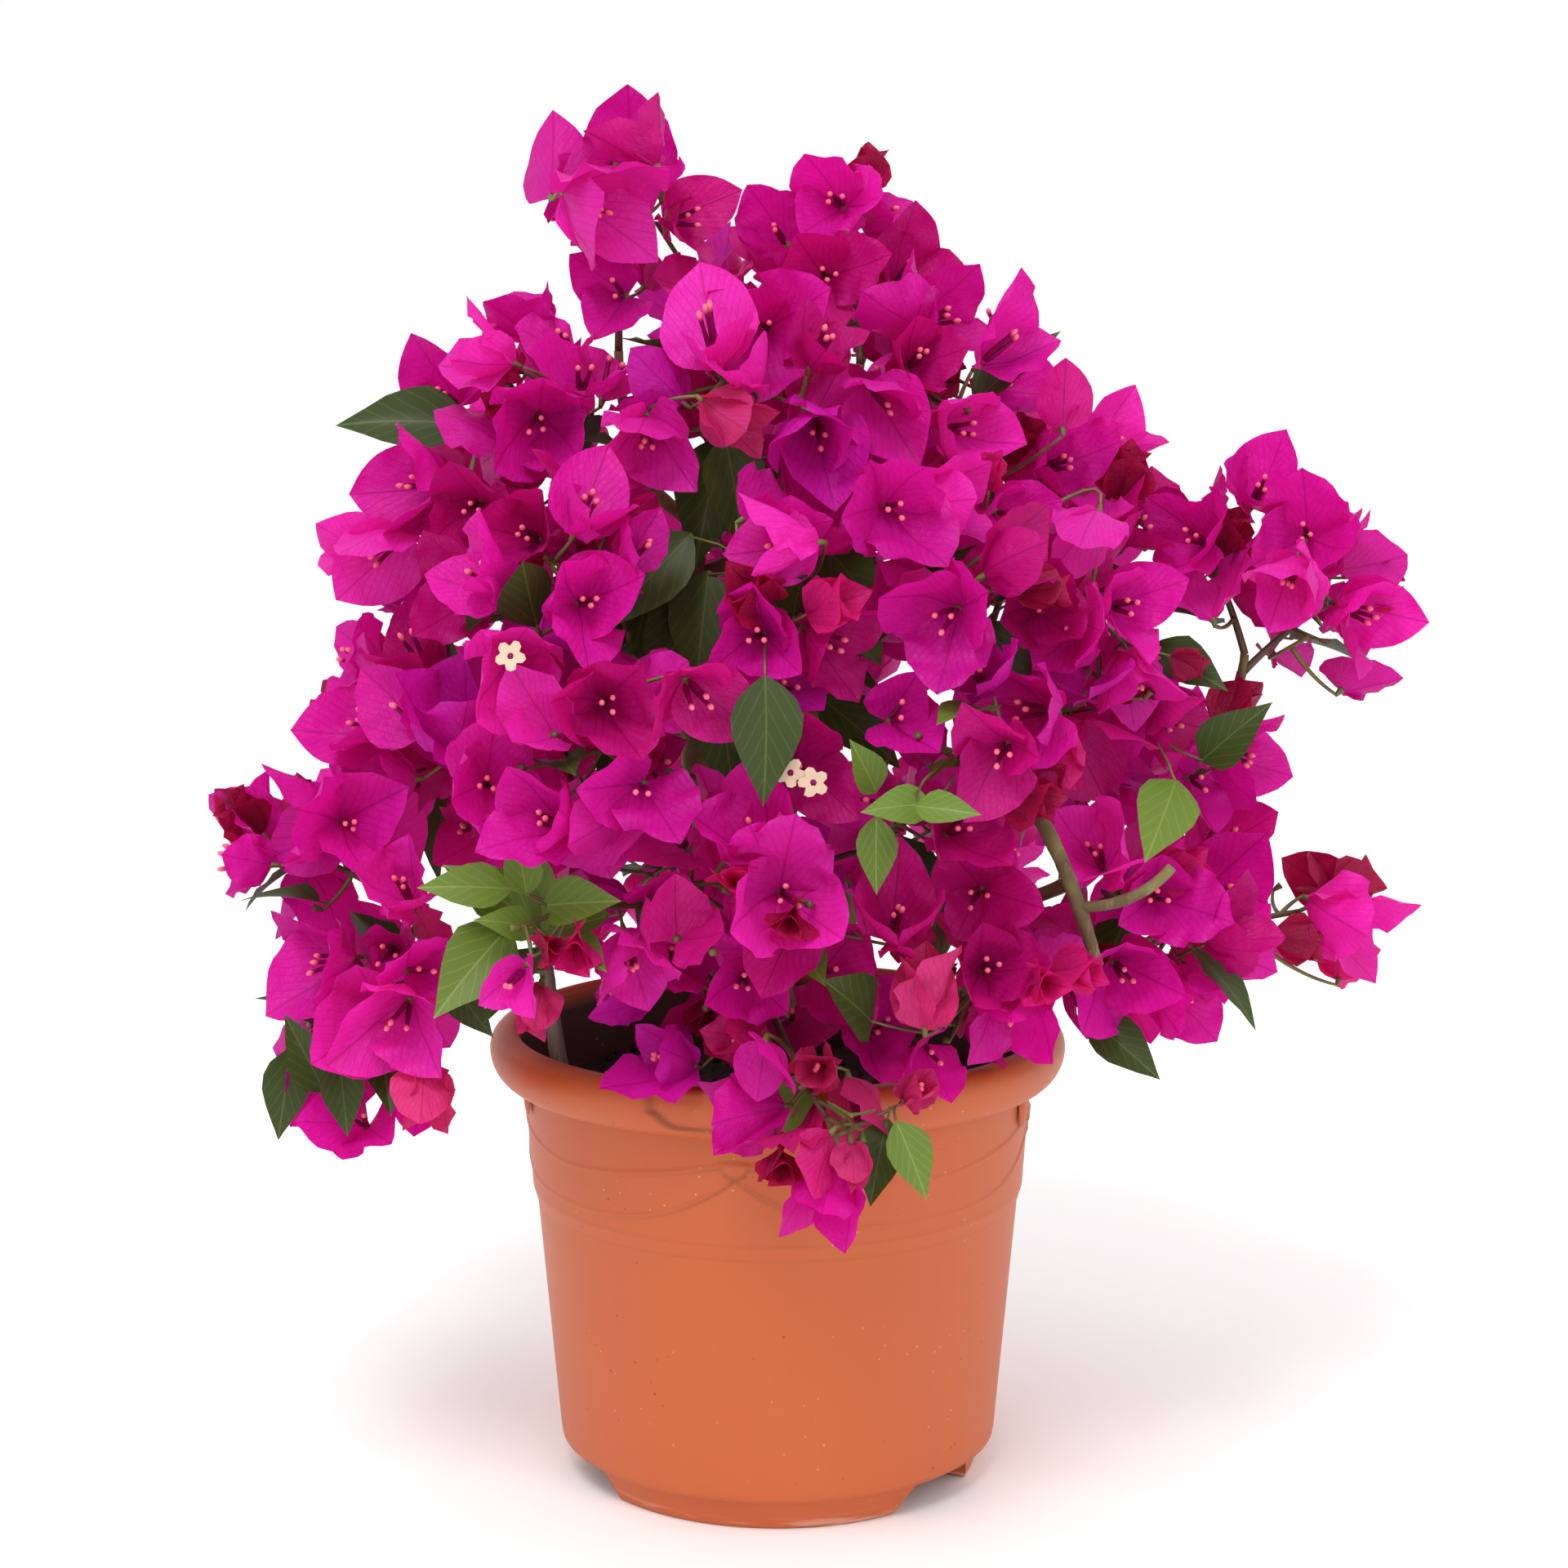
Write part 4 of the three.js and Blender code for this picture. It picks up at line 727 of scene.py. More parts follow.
class Room:
    """A box of small cells that knows which of them are taken."""

    CELL = 1.5
    LOW = np.array([-200.0, -160, 95])
    HIGH = np.array([225.0, 175, 465])

    def __init__(self):
        self.counts = np.ceil((self.HIGH - self.LOW) / self.CELL).astype(int)
        self.taken = np.zeros(self.counts, bool)
        self.balls = {}

    def cells(self, points):
        return np.clip(((points - self.LOW) / self.CELL).astype(int), 0, self.counts - 1)

    def ball(self, radius):
        if radius not in self.balls:
            reach = math.ceil(radius / self.CELL)
            steps = np.arange(-reach, reach + 1)
            offsets = np.stack(np.meshgrid(steps, steps, steps, indexing="ij"), -1).reshape(-1, 3)
            self.balls[radius] = offsets[(offsets**2).sum(1) <= (radius / self.CELL) ** 2 + 0.5]
        return self.balls[radius]

    def take(self, points, radius):
        cells = (self.cells(points)[:, None] + self.ball(radius)[None]).reshape(-1, 3)
        cells = np.clip(cells, 0, self.counts - 1)
        self.taken[cells[:, 0], cells[:, 1], cells[:, 2]] = True

    def free(self, points):
        cells = self.cells(points)
        return not self.taken[cells[:, 0], cells[:, 1], cells[:, 2]].any()


BLADE_ROOM = 2.0
TWIG_ROOM = 1.3
LIMB_ROOM = 1.0
BUD_ROOM = 2.5
CUP_ROOM = 4.5


def take_cup(room, blossom):
    """Keeps the hollow of a blossom free of other blossoms."""
    steps = np.linspace(0.45, 0.95, 4)
    hollow = blossom["node"] + np.multiply.outer(steps * blossom["length"] * LIFE_SIZE, blossom["axis"])
    room.take(hollow, CUP_ROOM)


def add_with_room(room, mass, blossom):
    mass.blossoms.append(blossom)
    for bract in filter(None, blossom["bracts"]):
        room.take(bract["points"], BLADE_ROOM)
    take_cup(room, blossom)


def take_limb(room, limb):
    for t in np.linspace(0, 1, max(4, int(limb.length() / 2))):
        room.take(bezier(limb.points, t)[None], round(limb.radius(t) + LIMB_ROOM))


def to_life_size(blossom):
    """The coarse blossom with bracts of their true length, in a closer cup."""
    flare = blossom["flare"] - math.radians(FINE["closed"])
    life = bracts_at(blossom["node"], blossom["axis"], blossom["length"] * LIFE_SIZE, flare, blossom["spin"])
    for i, (coarse, fine) in enumerate(zip(blossom["bracts"], life)):
        if coarse:
            blossom["bracts"][i] = {**fine, "length": coarse["length"] * LIFE_SIZE}


def take_coarse(room, mass):
    """Keeps what the coarse round grew, except blades that a placed blossom or leaf is in the way of."""
    for blossom in mass.blossoms:
        to_life_size(blossom)
        room.take(bezier(blossom["twig"], np.linspace(0.2, 1, 16)), TWIG_ROOM)
        free = [bract if bract and room.free(blade_samples(bract)) else None for bract in blossom["bracts"]]
        blossom["bracts"] = free if free.count(None) < 2 else [None] * 3
    for blossom in mass.blossoms:
        for bract in filter(None, blossom["bracts"]):
            room.take(blade_samples(bract), BLADE_ROOM)
        if any(blossom["bracts"]):
            take_cup(room, blossom)
    mass.leaves = [leaf for leaf in mass.leaves if room.free(blade_samples(leaf)[2 * ROW:])]
    for leaf in mass.leaves:
        room.take(blade_samples(leaf)[ROW:], BLADE_ROOM)


def seen_at(across, down, depth):
    """The place in mm that the camera sees at a pixel of the picture, at a depth y."""
    tilt = math.radians(CAMERA_TILT)
    slope = (PICTURE / 2 - down) / FOCAL_PIXELS
    ahead = depth - CAMERA_PLACE[1]
    drop = ahead * (slope * math.cos(tilt) - math.sin(tilt)) / (math.cos(tilt) + slope * math.sin(tilt))
    far = ahead * math.cos(tilt) - drop * math.sin(tilt)
    x = CAMERA_PLACE[0] + (across - PICTURE / 2) * far / FOCAL_PIXELS
    return np.array([x, depth, CAMERA_PLACE[2] + drop])


def towards(turn, rise):
    """The unit vector at an azimuth from the front, rightward, and an elevation, in degrees."""
    turn, rise = math.radians(turn), math.radians(rise)
    return np.array([math.sin(turn) * math.cos(rise), -math.cos(turn) * math.cos(rise), math.sin(rise)])


def mass_at(point, masses):
    """The mass whose space a point lies in, or lies nearest to."""
    return min(masses, key=lambda mass: float((((point - mass.middle) / mass.reach) ** 2).sum()))


def nearest_foot(mass, point):
    """The place on the mass's shoots that is nearest to a point."""
    feet = [on_shoot(steps, t) for steps in mass.shoots() for t in (0.5, 0.7, 0.9)]
    return min(feet, key=lambda foot: size(foot - point))


def place_blossoms(masses, room):
    def has_room(points):
        return clear_of_pot(points) and room.free(points[ROW:])

    for across, down, depth, turn, rise, spin, length, flare, tone in FRONT_BLOSSOMS:
        axis = towards(turn, rise)
        for nudge in NUDGES:
            heart = seen_at(across, down, depth + nudge)
            node = heart - axis * length * 0.5
            bracts = bracts_at(node, axis, length, math.radians(flare), math.radians(spin))
            bracts = [fitted(bract, FINE["shrink"], has_room) for bract in bracts]
            if bracts.count(None) < 2:
                break
        else:
            continue
        mass = mass_at(heart, masses)
        twig = twig_to(node, axis, mass.shoots())
        if twig is None:
            foot = nearest_foot(mass, node)
            twig = [foot, node - axis * (KNOT_BELOW + size(node - foot) * 0.4), node - axis * KNOT_BELOW]
        blossom = {"node": node, "axis": axis, "bracts": bracts, "heart": heart, "length": length}
        blossom.update(tone=tone, twig=twig, steps=twig_steps(twig))
        add_with_room(room, mass, blossom)


def keep_clear(room):
    """Takes the room in front of what the picture sees in between the blossoms."""
    for across, down, depth, half in CLEARINGS:
        for nearer in range(depth, round(room.LOW[1]), -3):
            room.take(seen_at(across, down, nearer)[None], half)


def place_leaves(masses, room):
    for across, down, depth, turn, rise, length, green in FRONT_LEAVES:
        ahead = towards(turn, rise)
        face = square_to(LEAF_FACING, ahead)
        for nudge in LEAF_NUDGES:
            root = seen_at(across, down, depth + nudge) - ahead * length * 0.5
            leaf = {"root": root, "ahead": ahead, "face": face, "form": LEAF, "length": length}
            points = blade_samples(leaf)
            if clear_of_pot(points) and room.free(points[ROW:]):
                break
        else:
            continue
        mass = mass_at(root, masses)
        leaf.update(green=green, foot=nearest_foot(mass, root))
        mass.leaves.append(leaf)
        room.take(points[ROW:], BLADE_ROOM)


def grow_fine_blossoms(mass, room, count, scale, seed):
    """Adds up to count blossoms where there is room between those of the coarse round."""
    random = seeded(mass.seed + seed)

    def has_room(points):
        return mass.holds(points, FINE["cell"]) and clear_of_pot(points) and room.free(points)

    made = 0
    tries = FINE["tries"] * count
    for i in range(tries):
        if made >= count:
            break
        blossom = draw_blossom(mass, random, False, scale, FINE["closed"], FINE["turn"])
        if mass.crowded(blossom["heart"], FINE["apart"]):
            continue
        if not mass.holds(blossom["node"][None], FINE["cell"]):
            continue
        bracts = [fitted(bract, FINE["shrink"], has_room) for bract in blossom["bracts"]]
        if bracts.count(None) > (2 * i) // tries:
            continue
        twig = twig_to(blossom["node"], blossom["axis"], mass.shoots())
        if twig is None:
            continue
        along = bezier(twig, np.linspace(0.35, 1, 12))
        if not clear_of_pot(along) or not room.free(along):
            continue
        blossom.update(bracts=bracts, twig=twig, steps=twig_steps(twig), fine=True)
        room.take(along, TWIG_ROOM)
        add_with_room(room, mass, blossom)
        made += 1


def grow_fine_leaves(mass, room, count, scale):
    random = seeded(mass.seed + 1500)
    shoots = mass.shoots()
    made = 0
    for _ in range(FINE["tries"] * count):
        if made >= count:
            break
        leaf = draw_leaf(shoots, random, scale)
        points = blade_samples(leaf)
        if not mass.holds(points[ROW:], FINE["cell"]):
            continue
        if clear_of_pot(points) and room.free(points[2 * ROW:]):
            mass.leaves.append(leaf)
            room.take(points[ROW:], BLADE_ROOM)
            made += 1


def grow_buds(mass, room, count):
    """Small closed blossoms on thin shoots of their own."""
    random = seeded(mass.seed + 2500)
    shoots = mass.shoots()
    buds = []
    for _ in range(40 * count):
        if len(buds) >= count:
            break
        start = on_shoot(shoots[int(random() * len(shoots))], 0.45 + 0.5 * random())
        axis = unit(unit(start - CROWN_HEART) * 0.7 + any_way(random) * 1.6 + UP * 0.2)
        stalk = 7 + 12 * random()
        length = 11 + 10 * random()
        node = start + axis * stalk
        tip = node + axis * length
        points = np.array([mix(start, tip, t) for t in (0.4, 0.6, 0.8, 0.95, 1)])
        if not (mass.holds(points, FINE["cell"]) and clear_of_pot(points) and room.free(points)):
            continue
        twig = [start, mix(start, node, 0.5) - UP * 0.8, node]
        bracts = bracts_at(node, axis, length, math.radians(10 + 9 * random()), random() * 6)
        buds.append({"bracts": bracts, "twig": twig})
        room.take(points[1:], BUD_ROOM)
    return buds


# ---------- mesh building ----------

class Heap:
    """Collects pieces of mesh that end up as one object."""

    def __init__(self):
        self.verts, self.uvs, self.shades, self.faces = [], [], [], {3: [], 4: []}
        self.slots = {3: [], 4: []}
        self.count = 0

    def add(self, verts, faces, slot=0, uvs=None, shade=0.5):
        verts = np.asarray(verts, float).reshape(-1, 3)
        self.verts.append(verts)
        self.uvs.append(np.zeros((len(verts), 2)) if uvs is None else np.asarray(uvs, float))
        self.shades.append(np.broadcast_to(np.asarray(shade, float), len(verts)))
        for group in faces:
            group = np.asarray(group, int)
            sides = group.shape[1]
            self.faces[sides].append(group + self.count)
            self.slots[sides].append(np.full(len(group), slot))
        self.count += len(verts)

    def build(self, name, materials, smooth=True):
        verts = np.concatenate(self.verts) * MM
        loops, starts, slots, at = [], [], [], 0
        for sides in (3, 4):
            if self.faces[sides]:
                group = np.concatenate(self.faces[sides])
                loops.append(group.ravel())
                starts.append(at + sides * np.arange(len(group)))
                slots.append(np.concatenate(self.slots[sides]))
                at += group.size
        loops, starts, slots = np.concatenate(loops), np.concatenate(starts), np.concatenate(slots)
        mesh = bpy.data.meshes.new(name)
        mesh.vertices.add(len(verts))
        mesh.vertices.foreach_set("co", verts.ravel())
        mesh.loops.add(len(loops))
        mesh.loops.foreach_set("vertex_index", loops)
        mesh.polygons.add(len(starts))
        mesh.polygons.foreach_set("loop_start", starts)
        mesh.polygons.foreach_set("material_index", slots)
        mesh.polygons.foreach_set("use_smooth", np.full(len(starts), smooth))
        layer = mesh.uv_layers.new(name="UVMap")
        layer.data.foreach_set("uv", np.concatenate(self.uvs)[loops].ravel())
        shade = mesh.attributes.new("shade", "FLOAT", "POINT")
        shade.data.foreach_set("value", np.concatenate(self.shades))
        for material in materials:
            mesh.materials.append(material)
        mesh.update()
        mesh.validate()
        piece = bpy.data.objects.new(name, mesh)
        bpy.context.collection.objects.link(piece)
        return piece


def grid_faces(rows, columns, wrap=False):
    """Quads between rows of points; wrap closes each row into a ring."""
    i, j = np.meshgrid(np.arange(rows - 1), np.arange(columns if wrap else columns - 1), indexing="ij")
    i, j = i.ravel(), j.ravel()
    k = (j + 1) % columns
    return np.stack([i * columns + j, i * columns + k, (i + 1) * columns + k, (i + 1) * columns + j], 1)


def tube(path, radii, sides, relief=None):
    """Rings along a path, with frames carried from ring to ring, and caps at both ends."""
    path = np.asarray(path, float)
    ways = np.gradient(path, axis=0)
    ways /= np.linalg.norm(ways, axis=1)[:, None]
    side = unit(cross(ways[0], UP if abs(ways[0][2]) < 0.8 else np.array([0, 1.0, 0])))
    angles = np.linspace(0, 2 * math.pi, sides, endpoint=False)
    rings = []
    for i, (centre, way) in enumerate(zip(path, ways)):
        side = unit(side - way * float(side @ way))
        over = cross(way, side)
        out = np.multiply.outer(np.cos(angles), side) + np.multiply.outer(np.sin(angles), over)
        radius = radii[i] * (np.ones(sides) if relief is None else relief[i])
        rings.append(centre + out * radius[:, None])
    verts = np.concatenate([*rings, path[:1], path[-1:]])
    first, last = len(verts) - 2, len(verts) - 1
    k = np.arange(sides)
    after = (k + 1) % sides
    top = (len(path) - 1) * sides
    caps = np.concatenate([
        np.stack([np.full(sides, first), after, k], 1),
        np.stack([np.full(sides, last), top + k, top + after], 1),
    ])
    return verts, [grid_faces(len(path), sides, wrap=True), caps]


def add_twig(heap, points, radii, sides, steps, slot=0):
    """A twig along a Bezier curve. Slot 0 is green, slot 1 brown."""
    path = bezier(points, np.linspace(0, 1, steps))
    verts, faces = tube(path, np.linspace(radii[0], radii[1], steps), sides)
    heap.add(verts, faces, slot)


# ---------- bracts, leaves, flowers ----------

# Half the width of a blade at shares of its length, as a share of its greatest half-width.
BRACT_EDGE = ((0, 0.12), (0.03, 0.44), (0.08, 0.78), (0.16, 1.02), (0.28, 1.18), (0.42, 1.2), (0.56, 1.13),
              (0.69, 0.97), (0.79, 0.77), (0.87, 0.54), (0.93, 0.3), (0.97, 0.12), (1, 0.0))
LEAF_EDGE = ((0, 0.05), (0.08, 0.42), (0.2, 0.8), (0.36, 1.0), (0.52, 0.92), (0.68, 0.66), (0.82, 0.36),
             (0.92, 0.15), (1, 0.0))


def blade_mesh(blade, edge, random, steps=(10, 8), wave=1.2, cup=0.0, belly=0.0, crumple=0.0):
    """A blade as a wavy grid. cup bends its sides towards the face, belly its middle; crumple creases it."""
    rows, columns = steps
    along = (1 - np.cos(math.pi * np.linspace(0, 1, rows + 1))) / 2
    u, v = np.meshgrid(along, np.linspace(-1, 1, columns + 1), indexing="ij")
    u, v = u.ravel(), v.ravel()
    width = np.interp(u, *zip(*edge)) * (0.93 + 0.16 * random())
    points = blade_points(blade, u, v, width)
    length = blade["length"]
    size_share = length / 38
    beats = 2.2 + 1.6 * random()
    phases = random() * 6.3, random() * 6.3
    phase = np.where(v > 0, phases[0], phases[1])
    lift = wave * size_share * np.sin(2 * math.pi * beats * u + phase) * v * v * width
    lift += cup * length * 0.25 * (v * width) ** 2 + belly * length * np.sin(math.pi * u**0.8)
    lift -= (random() - 0.35) * 0.12 * length * u**3
    creases = np.sin(7 * u + 4 * v + phases[0]) + 0.7 * np.sin(11 * u - 6 * v + phases[1])
    lift += crumple * size_share * creases * np.sin(math.pi * np.minimum(1, u * 1.15))
    sway = (random() - 0.5) * 0.1 * length * u * u
    side = cross(blade["face"], blade["ahead"])
    points = points + np.multiply.outer(lift, blade["face"]) + sway[:, None] * side
    return points, [grid_faces(rows + 1, columns + 1)], np.stack([u, v * width * 0.5 + 0.5], 1)


def soft_fold(blade, fold, curl):
    """The blade with its fold and curl turned to a share, so that no two bend alike."""
    form = {**blade["form"], "fold": blade["form"]["fold"] * fold, "curl": blade["form"]["curl"] * curl}
    return {**blade, "form": form}


def flower_tube(heap, stars, bract, axis, length, random, opened):
    """A slim tube that stands on a bract's midrib, closed at its tip or open in a cream star."""
    foot = bract["root"] + axis * 1.4 + bract["ahead"] * 1.5
    way = unit(axis * 1.1 + bract["ahead"] * 0.4 + 0.25 * any_way(random))
    tall = length * (0.36 + 0.12 * random())
    shares = np.array([0, 0.12, 0.35, 0.55, 0.7, 0.82, 0.93, 1.0])
    bow = cross(way, axis + 0.01) * 1.4
    path = foot + np.multiply.outer(shares * tall, way) + np.multiply.outer(np.sin(shares * 3.1), bow)
    radii = np.array([0.6, 0.95, 0.95, 0.8, 0.7, 0.8, 0.98, 0.45]) * (0.8 if opened else 0.95)
    verts, faces = tube(path, radii, 6)
    rings = len(shares)
    uvs = np.zeros((len(verts), 2))
    uvs[: rings * 6, 1] = np.repeat(shares, 6)
    uvs[-1, 1] = 1
    heap.add(verts, faces, 0, uvs)
    if opened:
        star(stars, path[-1] + way * 0.2, way, 3.4, random)


def place_open_flowers(stars, tubes):
    random = seeded(77)
    for across, down, depth in OPEN_FLOWERS:
        centre = seen_at(across, down, depth)
        axis = towards(20 * (random() - 0.5), 20 * random())
        add_twig(tubes, [centre - axis * 14 - UP * 3, centre - axis * 6, centre], (0.8, 1.1), 6, 6)
        star(stars, centre, axis, 4.8, random)


def star(heap, centre, axis, radius, random):
    """A five-lobed cream flower with a dark throat."""
    points = 20
    spin = random() * 6
    rim, rim_uvs = [], []
    for k in range(points):
        turn = spin + 2 * math.pi * k / points
        lobe = 0.6 + 0.36 * abs(math.cos(2.5 * (turn - spin))) ** 0.7 + 0.12 * (random() - 0.5)
        out = around_axis(axis, turn)
        rim.append(centre + out * radius * lobe + axis * 0.5 * lobe)
        rim_uvs.append((0.9, 0.5))
    middle = [centre + around_axis(axis, spin + 2 * math.pi * k / points) * 0.9 for k in range(points)]
    verts = np.array([*rim, *middle, centre - axis * 0.9])
    k = np.arange(points)
    after = (k + 1) % points
    quads = np.stack([k, after, after + points, k + points], 1)
    throat = np.stack([k + points, after + points, np.full(points, 2 * points)], 1)
    heap.add(verts, [quads], 0)
    heap.add(verts, [throat], 1)


# ---------- limbs with their bark ----------

def bark_relief(path, sides, depth, seed):
    """Shares of the radius round each ring: long ridges, leaf scars and a slow unevenness."""
    angles = np.linspace(0, 2 * math.pi, sides, endpoint=False)
    relief = np.ones((len(path), sides))
    run = np.concatenate([[0], np.cumsum(np.linalg.norm(np.diff(path, axis=0), axis=1))])
    for i, along in enumerate(run):
        knot = math.exp(-(((along % 27) - 13) / 2.2) ** 2)
        for j, angle in enumerate(angles):
            spot = Vector((math.cos(angle) * 1.6, math.sin(angle) * 1.6, along * 0.06 + seed * 7))
            fine = Vector((math.cos(angle) * 4, math.sin(angle) * 4, along * 0.35 + seed))
            relief[i, j] += depth * noise.noise(spot) + depth * 0.5 * noise.noise(fine) + 0.10 * knot
    return relief


def add_limb(heap, limb, index, slot):
    steps = max(8, int(limb.length() / 2.2))
    shares = np.linspace(0, 1, steps)
    path = bezier(limb.points, shares)
    if limb.parent is None:
        path[0, 2] = SOIL_TOP - 0.4
    radii = np.array([limb.radius(t) for t in shares]) * 0.96
    sides = 18 if limb.radii[0] > 4 else 12
    verts, faces = tube(path, radii, sides, bark_relief(path, sides, 0.16, index))
    around = np.tile(np.arange(sides) / sides, steps)
    uvs = np.zeros((len(verts), 2))
    uvs[: steps * sides] = np.stack([around, np.repeat(shares, sides)], 1)
    heap.add(verts, faces, slot, uvs)


def build_limbs():
    heap = Heap()
    for index, (name, limb) in enumerate(LIMBS.items()):
        add_limb(heap, limb, index, 1 if name == "stem_left" else 0)
    return heap


# ---------- materials ----------

class Paint:
    """A material with one shader, and short ways to make the nodes that give it colour and relief."""

    def __init__(self, name, roughness, specular=0.5):
        self.material = bpy.data.materials.new(name)
        self.material.use_nodes = True
        self.tree = self.material.node_tree
        self.tree.nodes.clear()
        self.output = self.tree.nodes.new("ShaderNodeOutputMaterial")
        self.shader = self.tree.nodes.new("ShaderNodeBsdfPrincipled")
        self.shader.inputs["Roughness"].default_value = roughness
        self.shader.inputs["Specular IOR Level"].default_value = specular
        self.link(self.shader.outputs[0], self.output.inputs[0])

    def link(self, start, end):
        self.tree.links.new(start, end)

    def plug(self, socket, value):
        """Links a socket into an input, or sets a number or a colour there."""
        if isinstance(value, bpy.types.NodeSocket):
            self.link(value, socket)
        else:
            socket.default_value = (*value, 1) if socket.type == "RGBA" else value

    def node(self, kind, **values):
        """A node with its inputs and properties set by name."""
        made = self.tree.nodes.new("ShaderNode" + kind)
        for key, value in values.items():
            if key in made.inputs:
                self.plug(made.inputs[key], value)
            else:
                setattr(made, key, value)
        return made

    def place(self):
        return self.node("TexCoord").outputs["Object"]

    def uv(self):
        return self.node("UVMap", uv_map="UVMap").outputs[0]

    def shade(self):
        """The shade that a heap gives each vertex, from 0 to 1."""
        return self.node("Attribute", attribute_name="shade").outputs["Fac"]

    def stretched(self, place, scale):
        return self.node("Mapping", Vector=place, Scale=scale).outputs[0]

    def math(self, operation, *values):
        made = self.node("Math", operation=operation)
        for socket, value in zip(made.inputs, values):
            self.plug(socket, value)
        return made.outputs[0]

    def times(self, a, b):
        return self.math("MULTIPLY", a, b)

    def mixed(self, factor, a, b):
        """The colour a turned to b by a factor."""
        made = self.node("Mix", data_type="RGBA")
        for index, value in ((0, factor), (6, a), (7, b)):
            self.plug(made.inputs[index], value)
        return made.outputs[2]

    def ramp(self, value, low, high, out_low=0.0, out_high=1.0):
        made = self.node("MapRange", interpolation_type="SMOOTHSTEP")
        for socket, number in zip(made.inputs, (value, low, high, out_low, out_high)):
            self.plug(socket, number)
        return made.outputs[0]

    def noise(self, place, scale, detail=2.0, roughness=0.5):
        return self.node("TexNoise", Vector=place, Scale=scale, Detail=detail, Roughness=roughness).outputs[0]

    def cells(self, place, scale, feature="F1"):
        return self.node("TexVoronoi", feature=feature, Vector=place, Scale=scale).outputs[0]

    def specks(self, place, body, scale, reach, patches, share, colour):
        """The body colour with small specks of another, in patches of it only."""
        dots = self.math("LESS_THAN", self.cells(place, scale), reach)
        where = self.ramp(self.noise(place, patches[0]), *patches[1:])
        return self.mixed(self.times(self.times(dots, where), share), body, colour)

    def colour(self, value):
        self.plug(self.shader.inputs["Base Color"], value)

    def bump(self, height, strength, distance):
        made = self.node("Bump", Strength=strength, Distance=distance, Height=height)
        self.link(made.outputs[0], self.shader.inputs["Normal"])

    def let_through(self, colour, share):
        """Lets a share of the light through, as a thin blade does."""
        back = self.node("BsdfTranslucent", Color=colour)
        both = self.node("MixShader")
        both.inputs[0].default_value = share
        self.link(self.shader.outputs[0], both.inputs[1])
        self.link(back.outputs[0], both.inputs[2])
        self.link(both.outputs[0], self.output.inputs[0])


def scaled(colour, share, more=0.0):
    return tuple(min(1.0, c * share + more) for c in colour)


def vein_masks(paint, ribs, slant, net):
    """Masks over a blade's UV map: the midrib, the side veins and the fine net between them."""
    uv = paint.uv()
    split = paint.node("SeparateXYZ", Vector=uv)
    across = paint.math("ABSOLUTE", paint.math("SUBTRACT", split.outputs[1], 0.5))
    middle = paint.ramp(across, 0.006, 0.022, 1, 0)
    bent = paint.math("MULTIPLY_ADD", paint.noise(uv, 9.0), 0.07, split.outputs[0])
    beat = paint.math("FRACT", paint.times(paint.math("MULTIPLY_ADD", across, -slant, bent), ribs))
    side = paint.ramp(paint.math("ABSOLUTE", paint.math("SUBTRACT", beat, 0.5)), 0.03, 0.1, 1, 0)
    lines = paint.ramp(paint.cells(uv, net, "DISTANCE_TO_EDGE"), 0.015, 0.09, 1, 0)
    return middle, side, lines


def bract_material(name, colour, vein):
    """A papery bract: thin, a little shiny, crumpled between darker net veins, and lit through."""
    paint = Paint(name, 0.52, 0.3)
    middle, side, net = vein_masks(paint, 6.5, 1.5, 15.0)
    veins = paint.math("MAXIMUM", paint.times(side, 0.55), middle)
    veins = paint.math("MAXIMUM", veins, paint.times(net, 0.28))
    body = paint.mixed(paint.shade(), scaled(colour, 0.76), scaled(colour, 1.28, 0.006))
    painted = paint.mixed(paint.times(veins, 0.5), body, vein)
    paint.colour(painted)
    crumple = paint.noise(paint.uv(), 5.0, 3.0)
    paint.bump(paint.math("MULTIPLY_ADD", crumple, 3.0, paint.times(veins, -1.0)), 0.45, 0.0007)
    redder = (min(1.0, colour[0] * 1.15), colour[1], colour[2] * 0.42)
    paint.let_through(paint.mixed(0.5, painted, redder), 0.4)
    return paint.material


def leaf_material(name, colour, vein):
    """A leaf: leathery, with a pale midrib and side veins."""
    paint = Paint(name, 0.45, 0.34)
    middle, side, net = vein_masks(paint, 5.5, 1.1, 22.0)
    veins = paint.math("MAXIMUM", paint.times(side, 0.45), middle)
    body = paint.mixed(paint.shade(), scaled(colour, 0.7), scaled(colour, 1.3))
    painted = paint.mixed(paint.times(veins, 0.6), body, vein)
    paint.colour(painted)
    paint.bump(paint.math("MULTIPLY_ADD", net, 0.25, veins), -0.3, 0.0005)
    paint.let_through(painted, 0.22)
    return paint.material


def bark_material(name, young, old, ridge):
    """Bark in patches of a young and an old colour, with pale ridges along it."""
    paint = Paint(name, 0.72)
    place = paint.place()
    grain = paint.noise(paint.stretched(place, (260, 260, 60)), 1.0, 6.0, 0.65)
    body = paint.mixed(paint.ramp(paint.noise(place, 45.0, 3.0), 0.38, 0.62), young, old)
    paint.colour(paint.mixed(paint.times(paint.ramp(grain, 0.5, 0.68), 0.6), body, ridge))
    paint.bump(grain, 0.5, 0.0006)
    return paint.material


def twig_material(name, colour, tip):
    """Young shoots in two colours, smooth, with small pores."""
    paint = Paint(name, 0.5)
    place = paint.place()
    paint.colour(paint.mixed(paint.ramp(paint.noise(place, 70.0, 3.0), 0.35, 0.65), colour, tip))
    paint.bump(paint.cells(place, 900.0), 0.15, 0.0002)
    return paint.material


